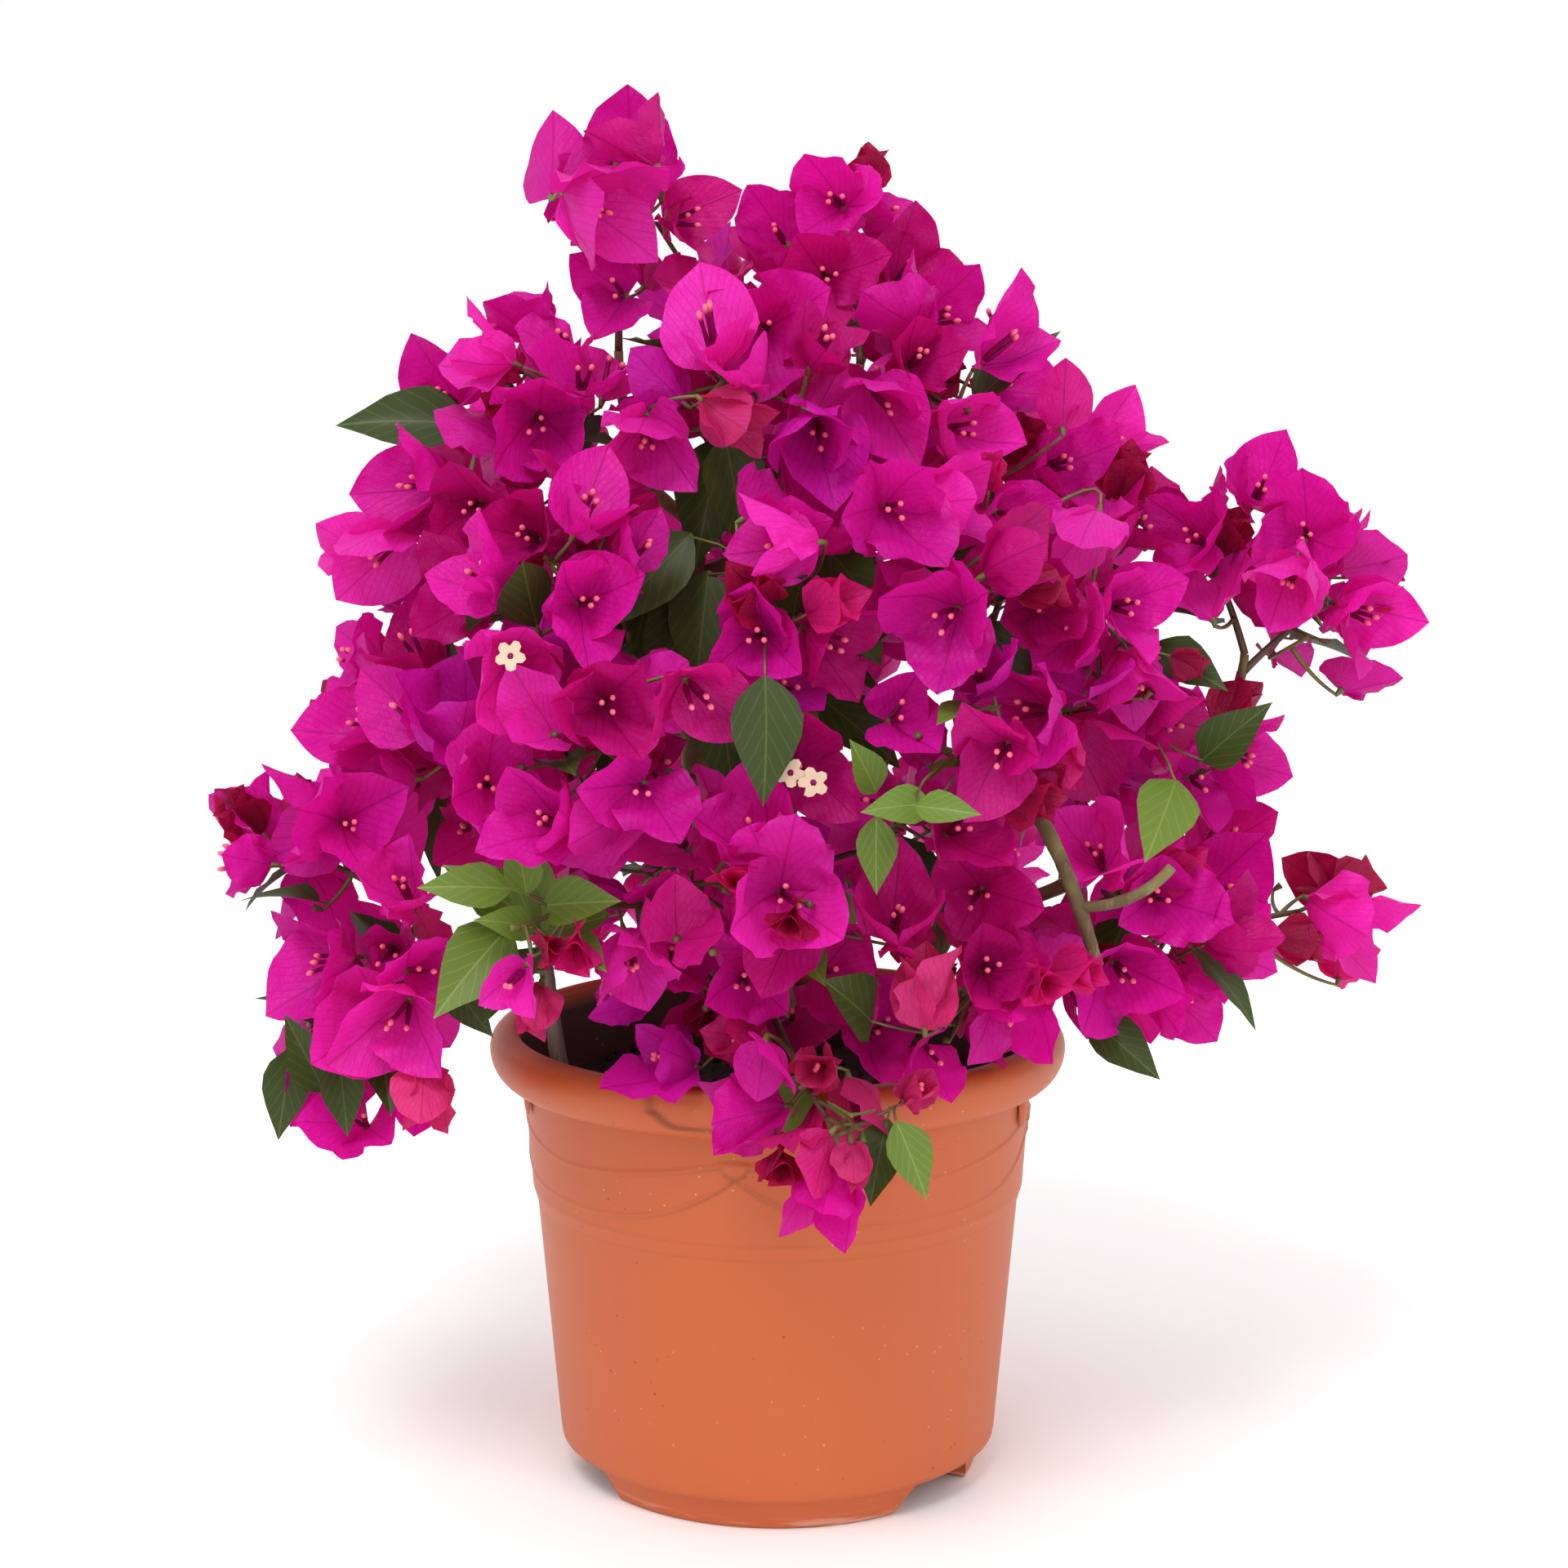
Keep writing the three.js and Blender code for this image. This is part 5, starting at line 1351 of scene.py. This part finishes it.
def tube_material():
    """A flower's tube: dark wine red, going over to a salmon tip."""
    paint = Paint("flower_tubes", 0.45, 0.2)
    along = paint.node("SeparateXYZ", Vector=paint.uv()).outputs[1]
    paint.colour(paint.mixed(paint.ramp(along, 0.8, 0.95), (0.2, 0.0, 0.07), (0.9, 0.17, 0.25)))
    return paint.material


def petal_material(name, colour, roughness):
    paint = Paint(name, roughness)
    paint.colour(paint.mixed(paint.noise(paint.place(), 900.0), scaled(colour, 0.8), colour))
    return paint.material


def pot_material():
    """Terracotta-coloured plastic: slightly cloudy, satin, with specks and a rubbed bottom edge. Painted shade
    darkens its inner wall, the undersides of its moulded lines and the edges of its thumb recess, and faint
    dark lines run round it.
    """
    paint = Paint("moulded_plastic", 0.5, 0.46)
    place = paint.place()
    cloud = paint.noise(place, 9.0, 4.0, 0.6)
    body = paint.mixed(paint.ramp(cloud, 0.3, 0.7), POT_COLOUR, POT_COLOUR_PALE)
    # painted shade: the inner wall, the undersides of the moulded lines and the edges of the thumb recess
    # darken by the heap's shade, as do faint dark lines round the pot
    body = paint.mixed(paint.shade(), body, (0.06, 0.018, 0.007))
    body = paint.specks(place, body, 170.0, 0.08, (26.0, 0.54, 0.64), 0.7, (0.14, 0.03, 0.012))
    body = paint.specks(place, body, 230.0, 0.075, (35.0, 0.48, 0.6), 0.42, (0.75, 0.5, 0.36))
    height = paint.node("SeparateXYZ", Vector=place).outputs[2]
    scratches = paint.noise(paint.stretched(place, (40, 40, 420)), 1.0, 5.0)
    worn = paint.times(paint.ramp(height, 0.0003, 0.005, 1, 0), paint.ramp(scratches, 0.5, 0.64))
    paint.colour(paint.mixed(paint.times(worn, 0.5), body, (0.72, 0.5, 0.38)))
    paint.plug(paint.shader.inputs["Roughness"], paint.math("MULTIPLY_ADD", cloud, 0.14, 0.4))
    paint.bump(paint.noise(place, 700.0, 3.0), 0.08, 0.0003)
    return paint.material


def peat_material():
    """Moist peat with paler fibres and a few pale grains."""
    paint = Paint("peat", 0.9)
    place = paint.place()
    lumps = paint.noise(place, 180.0, 8.0, 0.75)
    body = paint.mixed(paint.ramp(lumps, 0.35, 0.7), (0.006, 0.003, 0.002), (0.035, 0.018, 0.01))
    grains = paint.math("LESS_THAN", paint.cells(place, 170.0), 0.12)
    paint.colour(paint.mixed(grains, body, (0.12, 0.08, 0.05)))
    paint.bump(lumps, 0.9, 0.003)
    return paint.material


# ---------- pot ----------

def azimuth(degrees):
    """Degrees from the front, rightward, as an angle round +Z."""
    return math.radians(degrees - 90)


FESTOON = {"first": -9, "every": 90, "upper": 124.5, "upper_sag": 9.5, "lower": 119.5, "lower_sag": 17.5}
FESTOON_LINE = 0.6  # how far a line stands out, and about how wide it is
FESTOON_ZONE = (98, 131.7)  # the heights between which the wall has its garlands
BAND_FROM = (86.4, 133)  # radius and height past which a point lies on the rim's band
BOSS = {"half": 4.9, "top": 124.3, "drop": 5.6, "proud": 0.9}
THUMB = {"at": -9, "half": 15.5, "top": 149, "low": 137.0, "deep": 1.3}
NOTCHES = {"first": 52, "count": 3, "half_low": 18, "half_top": 11, "top": 10.3}
FOOT_RING = {"inside": 59, "outside": 72, "wall": 65, "radius": 66.1, "slope": 0.31}
LUGS = ((-74, 140.5, 3.2), (70, 138.0, 3.6))  # degrees from the front, height, half-width
LUG = {"radius": 84.2, "proud": 1.6, "half_height": 7.5, "below": 9}
INNER_SHADE_TOP = 146  # height above which the inner wall has no painted shade
RING_LINES = (92.4, 97.4, 10.6)  # heights of the faint dark lines round the pot
POT_SEGMENTS = 480


class Radius:
    """Radii of the pot's parts."""

    pad = 16
    foot_inner = 60
    foot = 66.1
    groove = 69.2
    wall_low = 72.9
    wall_top = 79.8
    garland_low = 81.5
    garland_top = 83.7
    band = 86.5
    crest = 89.5
    inner = 85.6
    under_soil = 82.2


class Height:
    """Heights of the same parts."""

    floor = 10.6
    wall_low = 13
    wall_top = 91.6
    garland_low = 98.2
    garland_top = 131.6
    band = 132.7
    shoulder = 143
    under_soil = 124


def angle_off(a, b, every=360):
    return abs((a - b + every / 2) % every - every / 2)


def smooth_step(low, high, x):
    t = min(1.0, max(0.0, (x - low) / (high - low)))
    return t * t * (3 - 2 * t)


def garland_relief(degrees, z, radius):
    """How far the wall stands out: two sagging lines between half-round bosses."""
    off = angle_off(degrees, FESTOON["first"], FESTOON["every"])
    half = FESTOON["every"] / 2
    share = max((half - off) / half, 0)
    fade = 1 - 0.45 * smooth_step(14, 40, off)
    upper = FESTOON["upper"] - FESTOON["upper_sag"] * (1 - share**1.6)
    lower = FESTOON["lower"] - FESTOON["lower_sag"] * (1 - share**2.9)
    out = 0.0
    for line in (upper, lower):
        out = max(out, FESTOON_LINE * fade * math.exp(-(((z - line) / FESTOON_LINE) ** 2)))
    if lower < z < upper:
        out = max(out, 0.12 * fade)
    across = math.radians(off) * radius
    down = BOSS["top"] - z
    if -0.6 < down < BOSS["drop"] and off < 10:
        round_off = math.hypot(across / BOSS["half"], max(down, 0) / BOSS["drop"])
        out = max(out, BOSS["proud"] * smooth_step(1.05, 0.8, round_off) * smooth_step(-0.6, 0.2, down))
    return out


def in_zone(z):
    return FESTOON_ZONE[0] < z < FESTOON_ZONE[1]


def on_band(radius, z):
    return radius > BAND_FROM[0] and z > BAND_FROM[1]


def painted_shade_and_lines(degrees, radius, z, inside):
    """How dark a spot of the pot is: painted shade on the inner wall, under the moulded lines and at the edges
    of the thumb recess, and faint dark lines round the pot.
    """
    # painted shade on the inner wall, fading out near its top
    if inside:
        return smooth_step(INNER_SHADE_TOP, INNER_SHADE_TOP - 3, z)
    darkening = 0.0
    # painted shade on the undersides of the raised garland lines and bosses
    if in_zone(z):
        below, above = (garland_relief(degrees, z + step, radius) for step in (-0.9, 0.9))
        off = angle_off(degrees, FESTOON["first"], FESTOON["every"])
        darkening = 0.2 * min(1.0, max(0.0, above - below) / 0.6)
        darkening *= 0.35 + 0.65 * smooth_step(44, 8, off) + smooth_step(14, 4, off)
    # painted shade along the edges of the thumb recess
    if on_band(radius, z):
        step = rim_relief(degrees + 0.8, z + 0.7) - rim_relief(degrees - 0.8, z - 0.7)
        darkening = 0.3 * min(1.0, abs(step))
    # faint dark lines round the pot
    for ring in RING_LINES:
        darkening = max(darkening, 0.09 * math.exp(-(((z - ring) / 0.5) ** 2)))
    return darkening


def rim_relief(degrees, z):
    """The shallow thumb recess in the rim's band."""
    off = angle_off(degrees, THUMB["at"])
    depth = smooth_step(THUMB["half"] + 0.8, THUMB["half"] - 0.8, off)
    corner = THUMB["low"] + 5 * smooth_step(THUMB["half"] * 0.55, THUMB["half"], off) ** 2
    depth *= smooth_step(corner - 0.5, corner + 0.5, z) * smooth_step(THUMB["top"] + 0.2, THUMB["top"] - 3, z)
    return -THUMB["deep"] * depth


def notch_height(degrees):
    top = 0.0
    for k in range(NOTCHES["count"]):
        off = angle_off(degrees, NOTCHES["first"] + k * 360 / NOTCHES["count"])
        share = (NOTCHES["half_low"] - off) / (NOTCHES["half_low"] - NOTCHES["half_top"])
        top = max(top, NOTCHES["top"] * min(1, max(0, share)))
    return top


def arc(centre, radii, start, end, steps):
    turns = np.radians(np.linspace(start, end, steps + 1))
    return [(centre[0] + radii[0] * math.cos(t), centre[1] + radii[1] * math.sin(t)) for t in turns]


def straight(a, b, steps):
    return [(a[0] + (b[0] - a[0]) * k / steps, a[1] + (b[1] - a[1]) * k / steps) for k in range(steps + 1)]


def pot_profile():
    """Radius and height from the middle of the underside, up the outside, over the rim and down inside."""
    under_garland = (Radius.garland_low - 0.2, Height.garland_low - 1.6)
    band_reach = (RIM_RADIUS - Radius.band, Height.shoulder - Height.band)
    shoulder = Height.shoulder + 0.2
    return [
        (0.01, 0), (Radius.pad - 0.4, 0), (Radius.pad, 0.4), (Radius.pad, Height.floor),
        *straight((Radius.pad, Height.floor), (Radius.foot_inner - 0.4, Height.floor), 4),
        (Radius.foot_inner, Height.floor - 0.4), (Radius.foot_inner, 0.5),
        (Radius.foot_inner + 0.5, 0), (Radius.foot - 0.5, 0),
        *straight((Radius.foot, 0.5), (Radius.groove, Height.floor - 0.8), 6),
        (Radius.groove + 0.2, Height.floor - 0.3), (Radius.wall_low - 1.3, Height.floor - 0.1),
        (Radius.wall_low - 0.3, Height.floor + 0.6),
        *straight((Radius.wall_low, Height.wall_low), (Radius.wall_top, Height.wall_top), 24),
        *straight((Radius.wall_top + 0.2, Height.wall_top + 0.7), under_garland, 5),
        (Radius.garland_low - 0.05, Height.garland_low - 0.8),
        *straight((Radius.garland_low, Height.garland_low), (Radius.garland_top, Height.garland_top), 56),
        (Radius.garland_top + 0.1, Height.band - 0.3), (Radius.garland_top + 0.4, Height.band + 0.05),
        (Radius.band - 1.3, Height.band), (Radius.band - 0.9, Height.band - 0.3),
        *arc((Radius.band, Height.shoulder), band_reach, -90, 0, 22),
        *arc((Radius.crest, shoulder), (RIM_RADIUS - Radius.crest, POT_HEIGHT - shoulder), 8, 90, 10),
        *arc((Radius.inner + 2, POT_HEIGHT - 1.9), (1.9, 1.9), 95, 180, 5),
        *straight((Radius.inner, POT_HEIGHT - 3), (Radius.under_soil, Height.under_soil), 6),
    ]


def make_pot():
    profile = pot_profile()
    inner_from = max(range(len(profile)), key=lambda i: profile[i][1])
    verts = np.zeros((len(profile), POT_SEGMENTS, 3))
    dark = np.zeros((len(profile), POT_SEGMENTS))
    for j in range(POT_SEGMENTS):
        degrees = j * 360 / POT_SEGMENTS
        turn = azimuth(degrees)
        lift = notch_height(degrees)
        for i, (radius, z) in enumerate(profile):
            # how dark each vertex is painted: shade on the inner wall and under the moulded relief, and faint
            # dark lines
            dark[i, j] = painted_shade_and_lines(degrees, radius, z, i > inner_from)
            if FOOT_RING["inside"] < radius < FOOT_RING["outside"] and z < lift:
                if radius > FOOT_RING["wall"]:
                    radius = max(radius, FOOT_RING["radius"] + FOOT_RING["slope"] * lift)
                z = lift
            if in_zone(z) and radius < 84:
                radius += garland_relief(degrees, z, radius)
            elif on_band(radius, z):
                radius += rim_relief(degrees, z)
            verts[i, j] = radius * math.cos(turn), radius * math.sin(turn), z
    heap = Heap()
    heap.add(verts, [grid_faces(len(profile), POT_SEGMENTS, wrap=True)], shade=dark.ravel())
    for degrees, z, half in LUGS:
        add_lug(heap, degrees, z, half)
    return heap.build("pot_shell", [pot_material()])


def add_lug(heap, degrees, z, half):
    """A small rounded tab that hangs under the rim's band."""
    turn = azimuth(degrees)
    out = np.array([math.cos(turn), math.sin(turn), 0])
    side = np.array([-out[1], out[0], 0])
    rings, sides = 8, 20
    verts = []
    for i in range(rings):
        share = math.sin(0.5 * math.pi * i / (rings - 1))
        depth = math.cos(0.5 * math.pi * i / (rings - 1))
        for k in range(sides):
            angle = 2 * math.pi * k / sides
            spread = side * math.cos(angle) * half * share + UP * math.sin(angle) * LUG["half_height"] * share
            verts.append(out * (LUG["radius"] + LUG["proud"] * depth) + spread + UP * (z - LUG["below"]))
    heap.add(verts, [grid_faces(rings, sides, wrap=True)[:, ::-1]], shade=0)


# ---------- soil ----------

SOIL_EDGE = 82
CRUMBS = 260


def make_soil():
    """The lumpy surface of the peat, with loose crumbs on it."""
    rings, sides = 34, 120
    verts = []
    for i in range(rings):
        radius = SOIL_EDGE * (i / (rings - 1)) ** 0.8
        for k in range(sides):
            turn = 2 * math.pi * k / sides
            x, y = radius * math.cos(turn), radius * math.sin(turn)
            lump = 1.6 * noise.noise(Vector((x * 0.05, y * 0.05, 3)))
            lump += 1.1 * noise.noise(Vector((x * 0.25, y * 0.25, 8)))
            verts.append((x, y, SOIL_TOP - 0.9 + lump - 1.2 * (radius / SOIL_EDGE) ** 6))
    heap = Heap()
    heap.add(verts, [grid_faces(rings, sides, wrap=True)])
    random = seeded(77)
    for _ in range(CRUMBS):
        turn, radius = random() * 6.3, SOIL_EDGE * math.sqrt(random()) * 0.95
        centre = np.array([radius * math.cos(turn), radius * math.sin(turn), SOIL_TOP - 0.3])
        add_crumb(heap, centre, 0.7 + 1.8 * random() ** 2, random)
    return heap.build("peat_surface", [peat_material()], smooth=False)


def add_crumb(heap, centre, radius, random):
    fifth = 2 * math.pi / 5
    corners = [(0, 0, 1), (0, 0, -1)]
    corners += [(math.cos(k * fifth), math.sin(k * fifth), 0.3 * (-1) ** k) for k in range(5)]
    verts = [centre + np.array(c) * radius * (0.7 + 0.6 * random()) for c in corners]
    faces = [(0, 2 + k, 2 + (k + 1) % 5) for k in range(5)] + [(1, 2 + (k + 1) % 5, 2 + k) for k in range(5)]
    heap.add(verts, [faces])


# ---------- growing and building the bush ----------

LIMBS = grow_limbs()


def all_runs(limbs):
    owners = [limb for limb in limbs for _ in range(Limb.RUNS)]
    parts = [np.concatenate([getattr(limb, key) for limb in limbs]) for key in ("starts", "ways", "widths")]
    return (*parts, owners)


def grow_coarse(masses, limbs):
    """The plant as its solids have it. Returns each mass's blossoms and leaves, and empties the masses."""
    runs = all_runs(limbs)
    grown = []
    for mass in masses:
        mass.meet(masses, runs)
        grow_coarse_blossoms(mass)
        grow_coarse_leaves(mass)
        grown.append((mass.blossoms, mass.leaves))
        mass.blossoms, mass.leaves = [], []
    return grown


def grow_masses():
    masses = [Mass(i, name, *row) for i, (name, row) in enumerate(MASSES.items())]
    limbs = [*LIMBS.values(), *(mass.stem for mass in masses)]
    coarse = grow_coarse(masses, limbs)
    room = Room()
    for limb in limbs:
        take_limb(room, limb)
    place_blossoms(masses, room)
    place_leaves(masses, room)
    keep_clear(room)
    for mass, (blossoms, leaves) in zip(masses, coarse):
        placed_blossoms, placed_leaves = mass.blossoms, mass.leaves
        mass.blossoms, mass.leaves = blossoms, leaves
        take_coarse(room, mass)
        mass.blossoms, mass.leaves = blossoms + placed_blossoms, mass.leaves + placed_leaves
    for mass in masses:
        grow_fine_blossoms(mass, room, 2 * mass.more, 0.84, 1000)
    for mass in masses:
        grow_fine_blossoms(mass, room, FINE_BLOSSOMS[side_of(mass)], 0.72, 3000)
    for mass in masses:
        mass.buds = []
        if mass.name in BLOSSOMS_ONLY:
            continue
        leaf_count = FINE_LEAVES.get(mass.name, USUAL_LEAVES[side_of(mass)]) + mass.leaf_count
        grow_fine_leaves(mass, room, leaf_count, 0.85)
        mass.buds = grow_buds(mass, room, BUDS)
    return masses


def side_of(mass):
    return "back" if mass.name.startswith("back") else "front"


def region_of(mass):
    side = "back" if mass.name == "inner" else side_of(mass)
    across, height = mass.middle[0], mass.middle[2]
    return f"{side}_{'left' if across < 0 else 'right'}_{'upper' if height > 265 else 'lower'}"


def pick(choices, random):
    return choices[int(random() * len(choices))]


def lapped(bract, random):
    """The bract a little out of true, turned on its midrib so that one edge laps over the next bract's."""
    ahead = unit(bract["ahead"] + BRACT_SWAY * any_way(random))
    face = square_to(bract["face"], ahead)
    turn = math.radians(BRACT_LAP * (0.5 + random()))
    face = face * math.cos(turn) + cross(face, ahead) * math.sin(turn)
    return {**bract, "ahead": ahead, "face": face, "length": bract["length"] * (0.94 + 0.12 * random())}


class Bush:
    """The plant's meshes as they are collected: each kind apart, and the bracts by region."""

    OPENED = 0.012  # share of blossoms whose flowers are open stars
    BLOOMED = 0.6  # share of the grown blossoms that have flower tubes
    FINE_GRID, GRID = (12, 8), (16, 10)

    def __init__(self, masses):
        self.bracts = {region_of(mass): Heap() for mass in masses}
        self.leaves, self.twigs, self.tubes, self.stars = Heap(), Heap(), Heap(), Heap()
        for mass in masses:
            random = seeded(mass.seed + 7000)
            add_twig(self.twigs, mass.stem.points, (mass.stem.radii[0], 0.9), 8, 14, 1)
            for blossom in mass.blossoms:
                self.add_blossom(blossom, mass, random)
            for bud in mass.buds:
                self.add_bud(bud, mass, random)
            for leaf in mass.leaves:
                self.add_leaf(leaf, mass, random)
        place_open_flowers(self.stars, self.tubes)

    def add_blossom(self, blossom, mass, random):
        node, axis = blossom["node"], blossom["axis"]
        placed = "tone" in blossom
        tone = blossom["tone"] if placed else pick(OWN_TONES.get(mass.name, USUAL_TONES), random)
        shade = 0.3 + 0.4 * random()
        add_twig(self.twigs, blossom["twig"], (0.85, 0.5), 6, 9)
        random()  # keeps the order of the numbers that are drawn
        add_twig(self.twigs, [node - axis * 2.4, node + axis], (0.6, 1.3), 6, 4)
        opened = random() < self.OPENED
        bloomed = placed or random() < self.BLOOMED
        grid = self.FINE_GRID if "fine" in blossom else self.GRID
        for bract in filter(None, blossom["bracts"]):
            bent = soft_fold(lapped(bract, random), 0.6 + 1.6 * random(), 0.1 + 1.3 * random())
            cup, belly = 0.5 * random() - 0.1, -0.05 - 0.09 * random()
            ruffle = 1 + 1.8 * random()
            points, faces, uvs = blade_mesh(bent, BRACT_EDGE, random, grid, ruffle, cup, belly, 0.55)
            tint = np.clip(shade + 0.3 * (random() - 0.5) + 0.12 * (1 - uvs[:, 0]), 0, 1)
            self.bracts[region_of(mass)].add(points, faces, TONE_NAMES.index(tone), uvs, tint)
            if bloomed:
                flower_tube(self.tubes, self.stars, bract, axis, blossom["length"], random, opened)

    def add_bud(self, bud, mass, random):
        tone = TONE_NAMES.index(pick(BUD_TONES, random))
        add_twig(self.twigs, bud["twig"], (0.55, 0.4), 5, 6)
        for bract in bud["bracts"]:
            slim = soft_fold({**bract, "form": {**BRACT, "width": 0.62}}, 1.6, 0.4)
            points, faces, uvs = blade_mesh(slim, BRACT_EDGE, random, (7, 6), 0.6, 0.9)
            self.bracts[region_of(mass)].add(points, faces, tone, uvs, 0.35 + 0.3 * random())

    def add_leaf(self, leaf, mass, random):
        root, ahead = leaf["root"], leaf["ahead"]
        stalk = leaf["length"] * 0.13
        blade = {**leaf, "root": root + ahead * stalk, "length": leaf["length"] - stalk}
        blade = soft_fold(blade, 0.6 + 0.7 * random(), 0.6 + 1.2 * random())
        fresh = random() < (0.6 if mass.name in FRESH_MASSES else 0.12)
        green = leaf.get("green", "fresh" if fresh else "dark")
        points, faces, uvs = blade_mesh(blade, LEAF_EDGE, random, (10, 6), 0.7, 0.1)
        self.leaves.add(points, faces, GREENS.index(green), uvs, 0.25 + 0.5 * random())
        foot = leaf.get("foot", root + ahead * 0.3)
        joint = root + ahead * stalk * 1.2
        bend = mix(foot, joint, 0.6) - ahead * size(joint - foot) * 0.2
        add_twig(self.twigs, [foot, bend, joint], (0.5, 0.4), 5, 5)


def ride(piece, nodes):
    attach(piece, "root")
    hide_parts(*nodes)


def dress():
    masses = grow_masses()
    bush = Bush(masses)
    tones = [bract_material("bract_" + name, *colours) for name, colours in TONES.items()]
    for region, heap in bush.bracts.items():
        within = [mass.name for mass in masses if region_of(mass) == region]
        ride(heap.build(f"bracts_{region}", tones), within)
    greens = [
        leaf_material("leaf_fresh", (0.13, 0.22, 0.028), (0.3, 0.38, 0.09)),
        leaf_material("leaf_dark", (0.038, 0.064, 0.009), (0.12, 0.16, 0.035)),
    ]
    ride(bush.leaves.build("leaves", greens), list(MASSES))
    shoots = [
        twig_material("shoots_green", (0.16, 0.17, 0.035), (0.11, 0.07, 0.025)),
        twig_material("shoots_brown", (0.11, 0.075, 0.03), (0.07, 0.035, 0.015)),
    ]
    ride(bush.twigs.build("twigs", shoots), list(MASSES))
    ride(bush.tubes.build("flower_tubes", [tube_material()]), list(MASSES))
    creams = [
        petal_material("flower_cream", (0.68, 0.5, 0.35), 0.5),
        petal_material("flower_throat", (0.16, 0.06, 0.03), 0.7),
    ]
    ride(bush.stars.build("open_flowers", creams), list(MASSES))
    barks = [
        bark_material("bark_young", (0.2, 0.17, 0.055), (0.1, 0.06, 0.022), (0.3, 0.24, 0.13)),
        bark_material("bark_grey", (0.24, 0.2, 0.16), (0.13, 0.1, 0.08), (0.42, 0.38, 0.33)),
    ]
    ride(build_limbs().build("limbs", barks), list(LIMBS))
    ride(make_pot(), ["pot"])
    ride(make_soil(), ["soil"])


# ---------- light, background and camera ----------

FLOOR_HALF = 4.0  # metres
FLOOR_GAP = 0.0003


def area_light(name, place, target, width, power):
    data = bpy.data.lights.new(name, "AREA")
    data.shape = "SQUARE"
    data.size = width
    data.energy = power
    lamp = bpy.data.objects.new(name, data)
    lamp.location = place
    lamp.rotation_euler = (Vector(target) - Vector(place)).to_track_quat("-Z", "Y").to_euler()
    bpy.context.collection.objects.link(lamp)


def light_studio():
    scene = bpy.context.scene
    world = bpy.data.worlds.new("white_studio")
    world.use_nodes = True
    backdrop = world.node_tree.nodes["Background"]
    backdrop.inputs[0].default_value = (1, 1, 1, 1)
    backdrop.inputs[1].default_value = 1.0
    scene.world = world
    area_light("key", (-0.35, -1.2, 1.8), (0, 0, 0.25), 0.7, 17)
    area_light("fill", (0.9, -1.5, 0.9), (0, 0, 0.2), 1.2, 4)
    scene.view_settings.view_transform = "Standard"
    scene.view_settings.look = "None"


def lay_floor():
    """A plain white floor for the pot to stand on. It isn't part of the object."""
    sides = ((-1, -1), (1, -1), (1, 1), (-1, 1))
    mesh = bpy.data.meshes.new("floor")
    corners = [(x * FLOOR_HALF, y * FLOOR_HALF, -FLOOR_GAP) for x, y in sides]
    mesh.from_pydata(corners, [], [(0, 1, 2, 3)])
    paint = Paint("floor_white", 0.9, 0.0)
    paint.colour((1, 1, 1))
    mesh.materials.append(paint.material)
    floor = bpy.data.objects.new("floor", mesh)
    bpy.context.collection.objects.link(floor)


def place_camera():
    data = bpy.data.cameras.new("camera")
    data.sensor_width = 36
    data.lens = data.sensor_width * FOCAL_PIXELS / PICTURE
    camera = bpy.data.objects.new("camera", data)
    camera.location = Vector(CAMERA_PLACE) * MM
    camera.rotation_euler = (math.radians(90 - CAMERA_TILT), 0, 0)
    bpy.context.collection.objects.link(camera)
    bpy.context.scene.camera = camera


dress()
light_studio()
lay_floor()
place_camera()
